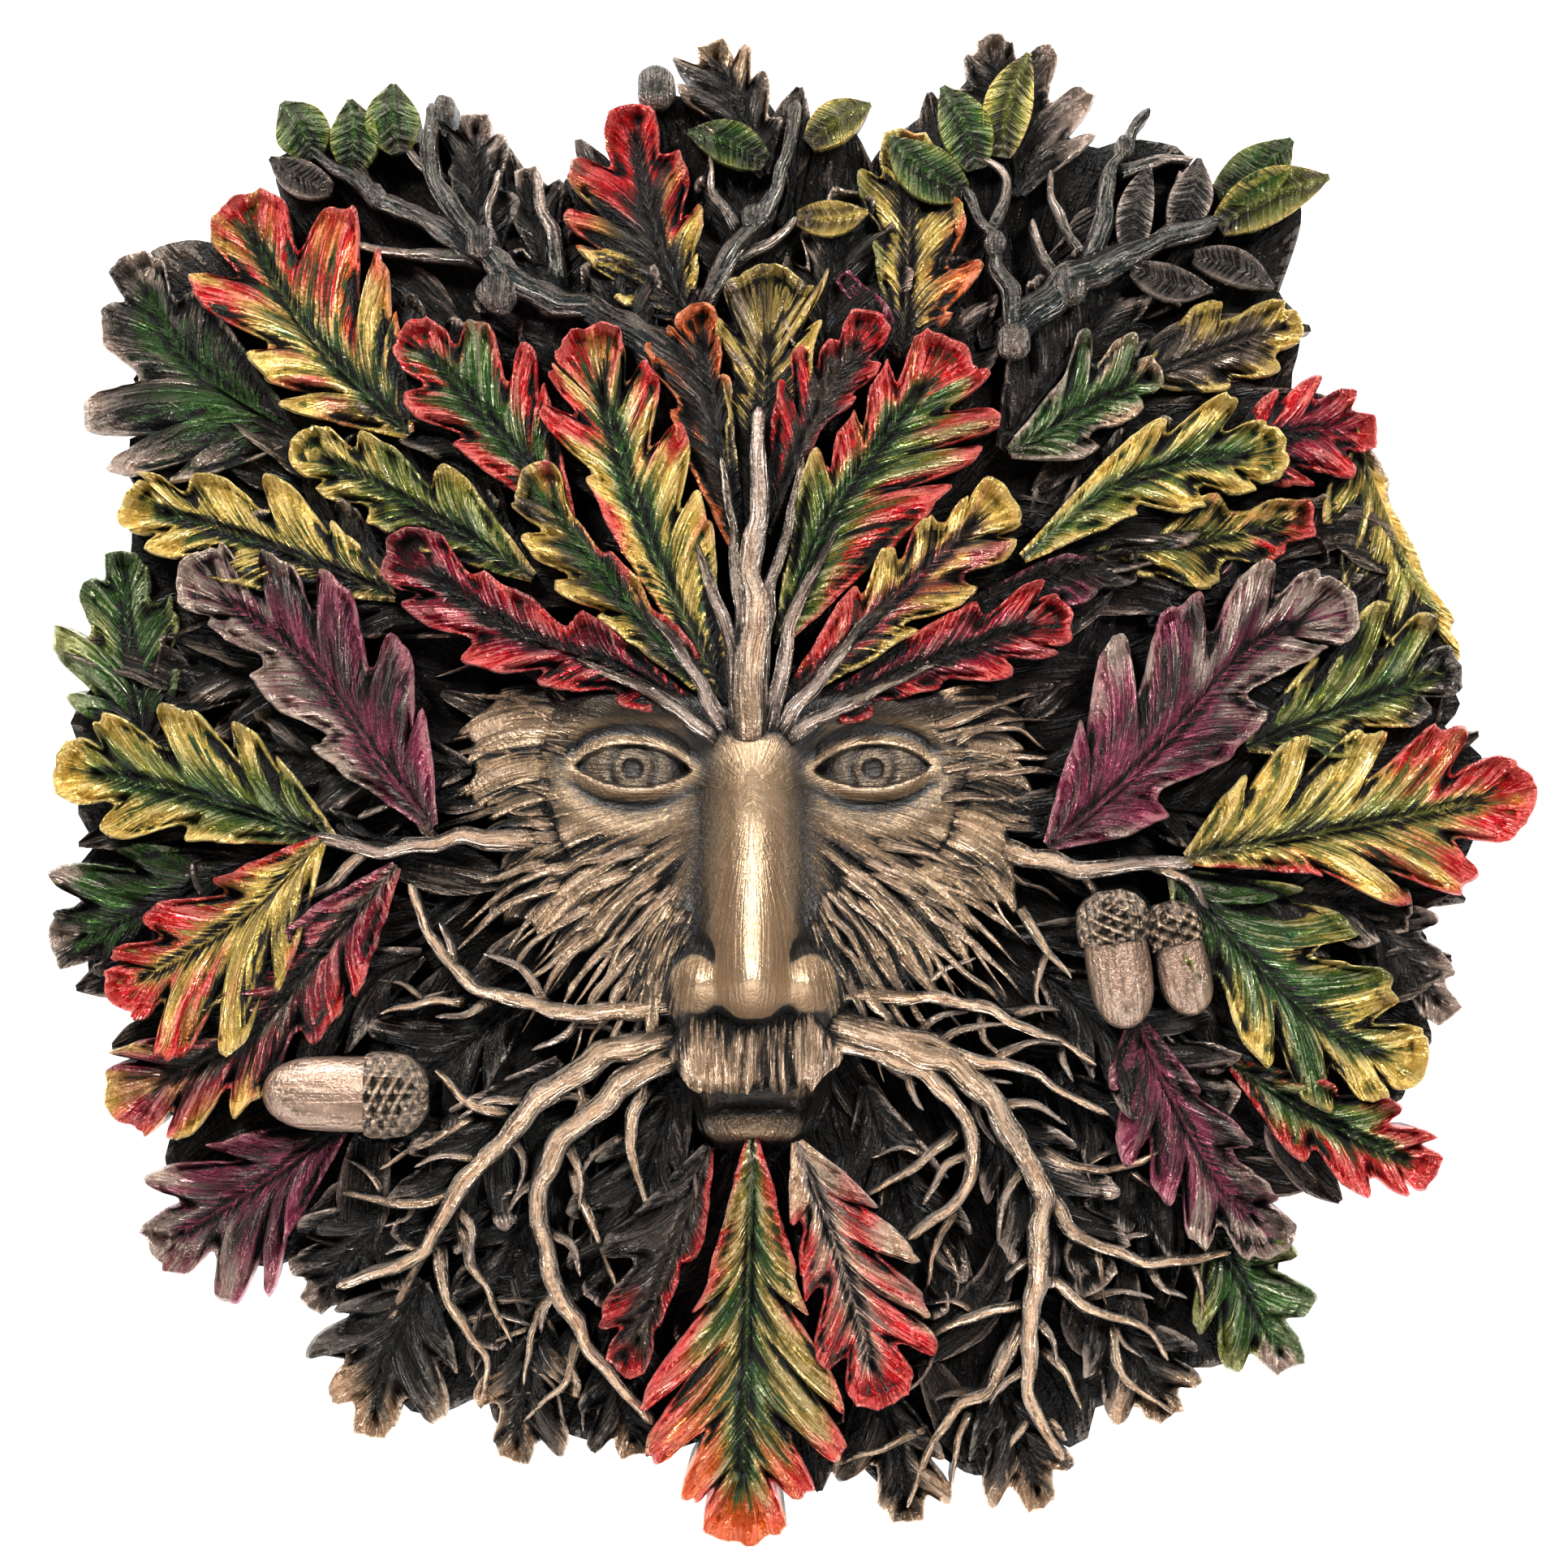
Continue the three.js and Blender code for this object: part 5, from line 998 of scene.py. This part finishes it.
for side in (-1, 1):
    angle = np.linspace(*HAIR_ANGLES, HAIR_COLUMNS)[None]
    run = np.linspace(0, 1, HAIR_ROWS)[:, None]
    inner, outer = np.interp(angle, *HAIR_INNER), np.interp(angle, *HAIR_OUTER)
    away = inner + (outer - inner) * run
    bent = angle - HAIR_BEND * run ** 2
    x = FACE_X + side * np.cos(bent) * away
    z = HAIR_Z + np.sin(bent) * away
    tongue = ramp(noise(angle * 10 + 7 * side + 20, 0 * angle + 0.5, 85), 0.1, 0.9)
    thin = ramp(noise(angle * 24 + 5 * side + 60, 0 * angle + 0.5, 87), 0.1, 0.9)
    tips = 0.48 + 0.30 * tongue + 0.18 * thin
    strands = combed(x, z)
    height = skull(x, z) + 0.6 + strands - 4.0 * ramp(0.3 - run, 0, 0.3) - 2.5 * run ** 2
    height -= 10 * ramp(run - tips, -0.03, 0.12)
    paint = mixed(SKIN, "soot", 0.95 * ramp(-strands, -0.3, 1.0) * ramp(run, 0.0, 0.3))
    grain = (angle * 34, away * 0.7)
    carve(f"hair_{side}", x, z, height, paint, grain, (FACE_X + side * 28, -12), 0.97)
    for layer, (count, first, last, begin, reach, half, rise) in enumerate(LAYERS):
        for lock in range(count):
            jitter = [lattice(lock, layer * 2 + side, seed) - 0.5 for seed in (71, 73, 79)]
            slant = math.radians(first + (last - first) * (lock + 0.6 * jitter[0]) / (count - 1))
            length = reach * (1 + 0.45 * jitter[2])
            heading = np.array([math.cos(slant) * side, math.sin(slant)])
            sag = np.array([0.0, -0.16 - 0.3 * jitter[0]])
            start = np.array([FACE_X, HAIR_Z]) + heading * (begin + 5 * jitter[1])
            points = [start, start + (heading - sag * 0.4) * length * 0.5, start + (heading + sag) * length]
            ribbon(f"lock_{layer}_{lock}_{side}", points, half, rise, "bronze bronze", taper=0.93, crown=0.9,
                   rough=0.8, seed=700 + 90 * layer + 2 * lock + side, columns=7, under=skull, fall=3.0)

# Moustache
# A short fringe of hair under the nose, combed straight down to a ragged edge over the mouth.
# It is carved on the upper lip, black between the strands and bronze on them.
FRINGE_HALF = 14.5
FRINGE_LENGTH = 13.5
FRINGE_ROLL = 2.6

down = np.linspace(0, 1, 22)[:, None]
across = np.linspace(-1, 1, 90)[None]
locks = noise(across * 7 + 20, down * 1.3, 83) - 0.5
hairs = noise(across * 17 + 60, down * 1.6, 89) - 0.5
spread = FRINGE_HALF * (0.72 + 0.28 * down)
x = FACE_X + spread * across + 0.5 * locks
z = NOSE_BASE_Z + 0.5 - down * (FRINGE_LENGTH + 1.4 * locks + 1.8 * hairs - 5.5 * across ** 4)
roll = FRINGE_ROLL * np.sqrt(np.maximum(0, 1 - across ** 4)) * np.sin(np.pi * (0.15 + 0.62 * down))
height = skull(x, z) + 1.5 + roll
height += (2.2 * locks + 1.6 * hairs) * (0.3 + 0.7 * down) - 1.8 * ramp(down, 0.85, 1.0)
height -= 2.5 * ramp(np.abs(across), 0.85, 1)
paint = mixed("bronze", "soot", 0.9 * ramp(-locks - 0.6 * hairs, -0.05, 0.3))
grain = (spread * across * 1.6, down * FRINGE_LENGTH)
carve("moustache", x, z, height, paint, grain, (FACE_X, NOSE_BASE_Z - 6), 0.95)

# Stems
# The pale stems of the crown's leaves gather between the brows and spread up the forehead. They are
# cast with the leaves and brushed with silver, the middle one with bronze.
STEMS = [
    # points from the brows, half width, lift
    ([(-5.5, 7), (-5, 28), (-4, 60)], 3.0, 14), ([(-7, 8), (-9, 24), (-16, 44)], 1.7, 13),
    ([(-6.5, 9), (-7, 30), (-10, 52)], 1.5, 13), ([(-4, 9), (-2, 30), (3, 52)], 1.5, 13),
    ([(-3, 8), (1, 24), (9, 42)], 1.7, 13), ([(-9, 8), (-15, 19), (-25, 32)], 1.6, 12.5),
    ([(-1, 8), (7, 19), (18, 31)], 1.6, 12.5), ([(-10, 7), (-20, 14), (-33, 20)], 1.4, 11.5),
    ([(0, 7), (10, 13), (24, 19)], 1.4, 11.5),
]

for number, (points, half, lift) in enumerate(STEMS):
    ribbon(f"stem_{number}", points, half, lift, "silver umber" if number else "bronze silver", taper=0.7,
           crown=0.8, rough=0.5, seed=620 + number, columns=13, fall=1.5)

# Joining
# All the carving is one casting: its forms are joined into a single closed body and its back is
# ground flat where it meets the wall.
MOST_TRIANGLES = 196000
SHARP_ANGLE = 42

bpy.ops.mesh.primitive_cube_add(size=1)
block = bpy.context.object
block.scale = cad_box[1] - cad_box[0]
block.location = (cad_box[1] + cad_box[0]) / 2
bpy.ops.object.transform_apply(location=True, rotation=True, scale=True)
mask = carved.objects["ground"]
carved.objects.unlink(mask)
bpy.context.scene.collection.objects.link(mask)
bpy.ops.object.select_all(action="DESELECT")
bpy.context.view_layer.objects.active = mask
mask.select_set(True)
join = mask.modifiers.new("join", "BOOLEAN")
join.operation = "UNION"
join.operand_type = "COLLECTION"
join.collection = carved
join.solver = "MANIFOLD"
bpy.ops.object.modifier_apply(modifier=join.name)
trim = mask.modifiers.new("trim", "BOOLEAN")
trim.operation = "INTERSECT"
trim.object = block
trim.solver = "MANIFOLD"
bpy.ops.object.modifier_apply(modifier=trim.name)
for form in [*carved.objects, block]:
    bpy.data.objects.remove(form)
thinning = mask.modifiers.new("thinning", "DECIMATE")
thinning.ratio = min(1, MOST_TRIANGLES / sum(len(face.vertices) - 2 for face in mask.data.polygons))
bpy.ops.object.modifier_apply(modifier=thinning.name)
bpy.data.collections.remove(carved)
mask.name = "mask"
mesh = mask.data
# Crumbs that touch nothing are dropped
shape = bmesh.new()
shape.from_mesh(mesh)
left_over = set(shape.verts)
shells = []
while left_over:
    shell, waiting = [], [left_over.pop()]
    while waiting:
        point = waiting.pop()
        shell.append(point)
        for link in point.link_edges:
            other = link.other_vert(point)
            if other in left_over:
                left_over.discard(other)
                waiting.append(other)
    shells.append(shell)
shells.sort(key=len)
for shell in shells[:-1]:
    bmesh.ops.delete(shape, geom=shell, context="VERTS")
shape.to_mesh(mesh)
shape.free()
bpy.ops.object.shade_smooth_by_angle(angle=math.radians(SHARP_ANGLE))

# Depth of the carving
# Dark wash settles where the surface lies lower than its surroundings, and the dry brush touches
# what stands higher. Each point keeps that difference for three sizes of surroundings.
CELL = 0.6
MAP_HALF = PLAN_HALF + 12
# radius of the near, broad and wide surroundings, and the difference that counts in full
SURROUNDINGS = [(1.0, 1.6), (2.6, 4.0), (7.0, 10.0)]

places = np.zeros(len(mesh.vertices) * 3)
mesh.vertices.foreach_get("co", places)
places = places.reshape(-1, 3)
tree = BVHTree.FromObject(mask, bpy.context.evaluated_depsgraph_get())
cells = int(2 * MAP_HALF / CELL)
level = np.zeros((cells, cells))
inward = Vector((0, 1, 0))
for row in range(cells):
    for column in range(cells):
        spot = Vector(((column * CELL - MAP_HALF) * MM, -0.1, (row * CELL - MAP_HALF) * MM))
        hit = tree.ray_cast(spot, inward)[0]
        if hit:
            level[row, column] = -hit.y / MM


def blurred(levels, radius):
    """Mean of a round neighbourhood, by three passes of a sliding window in each direction."""
    reach = max(1, round(radius / CELL))
    width = 2 * reach + 1
    for axis in (0, 1):
        added = [(0, 0), (0, 0)]
        added[axis] = (reach + 1, reach)
        for _ in range(3):
            padded = np.pad(levels, added, mode="edge")
            total = padded.cumsum(axis=axis)
            high = total.take(range(width, total.shape[axis]), axis=axis)
            levels = (high - total.take(range(0, total.shape[axis] - width), axis=axis)) / width
    return levels


column, row = (np.clip((places[:, axis] / MM + MAP_HALF) / CELL, 0, cells - 2) for axis in (0, 2))
left, low = column.astype(int), row.astype(int)
right_share, up_share = column - left, row - low
depth = np.ones((len(places), 4))
for slot, (radius, swing) in enumerate(SURROUNDINGS):
    around = blurred(level, radius)
    under = around[low, left] * (1 - right_share) + around[low, left + 1] * right_share
    over = around[low + 1, left] * (1 - right_share) + around[low + 1, left + 1] * right_share
    there = under * (1 - up_share) + over * up_share
    depth[:, slot] = np.clip(0.5 + 0.5 * (-places[:, 1] / MM - there) / swing, 0, 1)
mesh.color_attributes.new("depth", "FLOAT_COLOR", "POINT").data.foreach_set("color", depth.ravel())

# Paint
# Black patina under streaky metallic paints, rubbed back so the raised edges shine: a dark wash in the
# hollows, each leaf's own colours over it, and pale bronze from a dry brush on the highest edges.
BLACK_WASH = (0.006, 0.005, 0.004, 1)
BRUSH_BRONZE = (1.0, 0.85, 0.72, 1)
BRIGHTER = (2.0, 2.0, 2.0, 1)
GRIT_SCALE = 1300.0
BUMP_DEPTH = 0.001

paint_material = bpy.data.materials.new("painted_resin")
paint_material.use_nodes = True
tree = paint_material.node_tree
surface = tree.nodes["Principled BSDF"]


def put(kind, settings=None, inputs=None, where=None):
    """A node with its settings and inputs, where an input is a value or another node's output."""
    made = (where or tree).nodes.new(kind)
    for name, value in (settings or {}).items():
        setattr(made, name, value)
    for name, value in (inputs or {}).items():
        if isinstance(value, bpy.types.NodeSocket):
            (where or tree).links.new(value, made.inputs[name])
        else:
            made.inputs[name].default_value = value
    return made


def calc(operation, first, second=0.0, third=0.0, where=None):
    made = put("ShaderNodeMath", {"operation": operation}, {0: first, 1: second, 2: third}, where)
    return made.outputs[0]


def stepped(value, low, high, where=None):
    settings = {"interpolation_type": "SMOOTHSTEP"}
    inputs = {"Value": value, "From Min": low, "From Max": high, "To Min": 0.0, "To Max": 1.0}
    return put("ShaderNodeMapRange", settings, inputs, where).outputs["Result"]


def layered(value, *shares):
    """A value with each of the others added to it by its share."""
    for added, share in shares:
        value = calc("MULTIPLY_ADD", added, share, value)
    return value


def blend(share, first, second, mode="MIX"):
    made = put("ShaderNodeMix", {"data_type": "RGBA", "blend_type": mode}, {0: share, 6: first, 7: second})
    return made.outputs[2]


def effect(name, takes, *gives):
    """A node group from one vector to values: the group, that vector and the group's output node."""
    group = bpy.data.node_groups.new(name, "ShaderNodeTree")
    group.interface.new_socket(takes, in_out="INPUT", socket_type="NodeSocketVector")
    for value in gives:
        group.interface.new_socket(value, in_out="OUTPUT", socket_type="NodeSocketFloat")
    return group, put("NodeGroupInput", where=group).outputs[takes], put("NodeGroupOutput", where=group)


# Streaks across and along the grain: broad ones and fine ones
brush, taken, given = effect("brush streaks", "Grain", "Broad", "Fine")
for output, across, along, detail in (("Broad", 0.45, 0.050, 3.0), ("Fine", 1.3, 0.11, 2.0)):
    stretched = put("ShaderNodeMapping", None, {"Vector": taken, "Scale": (across, along, 1.0)}, brush)
    inputs = {"Vector": stretched.outputs["Vector"], "Scale": 1.0, "Detail": detail, "Roughness": 0.6}
    grainy = put("ShaderNodeTexNoise", {"noise_dimensions": "2D"}, inputs, brush)
    brush.links.new(stepped(grainy.outputs["Fac"], 0.38, 0.62, brush), given.inputs[output])

# Grit of the casting that shows through the paint
gritty, taken, given = effect("grainy coat", "Place", "Grit")
inputs = {"Vector": taken, "Scale": GRIT_SCALE, "Detail": 3.0, "Roughness": 0.7}
cloudy = put("ShaderNodeTexNoise", None, inputs, gritty)
evened = calc("SUBTRACT", stepped(cloudy.outputs["Fac"], 0.32, 0.68, gritty), 0.5, where=gritty)
gritty.links.new(evened, given.inputs["Grit"])

painted, undercoat, hollow = (put("ShaderNodeAttribute", {"attribute_name": name})
                              for name in ("paint", "first_coat", "depth"))
hollow = put("ShaderNodeSeparateColor", None, {"Color": hollow.outputs["Color"]})
near, broad, wide = (calc("SUBTRACT", output, 0.5) for output in hollow.outputs)
wear = painted.outputs["Alpha"]
grain = put("ShaderNodeUVMap", {"uv_map": "grain"})
streaks = put("ShaderNodeGroup", {"node_tree": brush}, {"Grain": grain.outputs["UV"]})
coarse, fine = (calc("MULTIPLY", calc("SUBTRACT", output, 0.5), wear) for output in streaks.outputs)
place = put("ShaderNodeTexCoord")
grit = put("ShaderNodeGroup", {"node_tree": gritty}, {"Place": place.outputs["Object"]}).outputs["Grit"]
# The wash leaves black in the hollows, then the undercoat shows, then the paint
wash = layered(0.80, (wear, -0.24), (near, 1.6), (broad, 1.2), (wide, 0.55))
bare = stepped(layered(wash, (fine, 0.6)), 0.25, 0.50)
cover = stepped(layered(wash, (coarse, 0.42), (fine, 0.95), (grit, 0.35)), 0.36, 0.78)
colour = blend(bare, BLACK_WASH, undercoat.outputs["Color"])
colour = blend(cover, colour, painted.outputs["Color"])
# The dry brush catches raised edges and streaks
dry = layered(0.5, (near, 1.9), (broad, 0.4), (fine, 1.25), (coarse, 0.3), (grit, 0.7))
dry = calc("MULTIPLY", stepped(dry, 0.86, 1.20), undercoat.outputs["Alpha"])
bright = blend(0.30, blend(1.0, painted.outputs["Color"], BRIGHTER, "MULTIPLY"), BRUSH_BRONZE)
colour = blend(calc("MULTIPLY", dry, 0.85), colour, bright)
raised = layered(coarse, (fine, 1.0), (calc("MULTIPLY", grit, calc("ADD", wear, 0.05)), 0.7))
bumps = put("ShaderNodeBump", None, {"Height": raised, "Strength": 1.0, "Distance": BUMP_DEPTH})
for name, output in {
    "Base Color": colour,
    "Metallic": layered(0.20, (cover, 0.70)),
    "Roughness": layered(0.36, (dry, -0.08)),
    "Normal": bumps.outputs["Normal"],
}.items():
    tree.links.new(output, surface.inputs[name])
mesh.materials.clear()
mesh.materials.append(paint_material)
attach(mask, "root")
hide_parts("green_man_mask")

# Floor and light
# A pale sweep of paper far behind and below, lit evenly, so the mask stands out against near white.
# Two small lamps in front, to the left and right, make the highlights, and a third lights the paper.
SWEEP_HALF = 2.5
SWEEP_BACK = 1.6
SWEEP_LOW = -0.55
SWEEP_BEND = 0.5
PAPER_WHITE = (0.9, 0.9, 0.9, 1)
DAYLIGHT = 0.22

bpy.ops.object.select_all(action="DESELECT")
bpy.ops.mesh.primitive_plane_add(size=2 * SWEEP_HALF, location=(0, SWEEP_BACK - SWEEP_HALF, SWEEP_LOW))
floor = bpy.context.object
floor.name = "floor"
bpy.ops.object.mode_set(mode="EDIT")
bpy.ops.mesh.select_all(action="DESELECT")
bpy.ops.object.mode_set(mode="OBJECT")
for side in floor.data.edges:
    side.select = all(floor.data.vertices[corner].co.y > 0 for corner in side.vertices)
bpy.ops.object.mode_set(mode="EDIT")
bpy.ops.mesh.extrude_region_move(TRANSFORM_OT_translate={"value": (0, 0, 2 * SWEEP_HALF)})
bpy.ops.object.mode_set(mode="OBJECT")
bpy.ops.object.transform_apply(location=True, rotation=True, scale=True)
rounding = floor.modifiers.new("rounding", "BEVEL")
rounding.width = SWEEP_BEND
rounding.segments = 12
bpy.ops.object.modifier_apply(modifier=rounding.name)
bpy.ops.object.shade_smooth()
pale = bpy.data.materials.new("pale_paper")
pale.use_nodes = True
sheet = pale.node_tree.nodes["Principled BSDF"]
sheet.inputs["Base Color"].default_value = PAPER_WHITE
sheet.inputs["Roughness"].default_value = 0.9
floor.data.materials.append(pale)

world = bpy.data.worlds.new("studio")
bpy.context.scene.world = world
world.use_nodes = True
sky = world.node_tree.nodes["Background"]
sky.inputs["Color"].default_value = (1, 1, 1, 1)
sky.inputs["Strength"].default_value = DAYLIGHT


def softbox(name, place, target, size, power):
    bpy.ops.object.light_add(type="AREA", location=place)
    light = bpy.context.object
    light.name = name
    light.rotation_euler = (Vector(target) - Vector(place)).to_track_quat("-Z", "Y").to_euler()
    light.data.size = size
    light.data.energy = power


softbox("key", (-0.38, -0.70, 0.60), (0, 0, 0), 0.18, 17)
softbox("second", (0.45, -0.70, 0.40), (0, 0, 0), 0.18, 12)
softbox("backdrop", (0, 0.35, 1.3), (0, 1.6, 0.0), 1.6, 45)

# Camera
# Straight in front of the mask, far enough back to see it nearly without perspective, and a little
# wider than the mask where most of the carving lies.
CAMERA_BACK = 0.85
CARVING_DEPTH = 0.012
PICTURE_WIDTH = 253.7
SENSOR_WIDTH = 36

bpy.ops.object.camera_add(location=(0, -CAMERA_BACK, 0), rotation=(math.pi / 2, 0, 0))
camera = bpy.context.object
camera.data.sensor_width = SENSOR_WIDTH
camera.data.lens = SENSOR_WIDTH * (CAMERA_BACK - CARVING_DEPTH) / (PICTURE_WIDTH * MM)
camera.data.clip_start = 0.01
bpy.context.scene.view_settings.view_transform = "Standard"
bpy.context.scene.camera = camera

low = [min(corner[axis] for corner in mask.bound_box) for axis in range(3)]
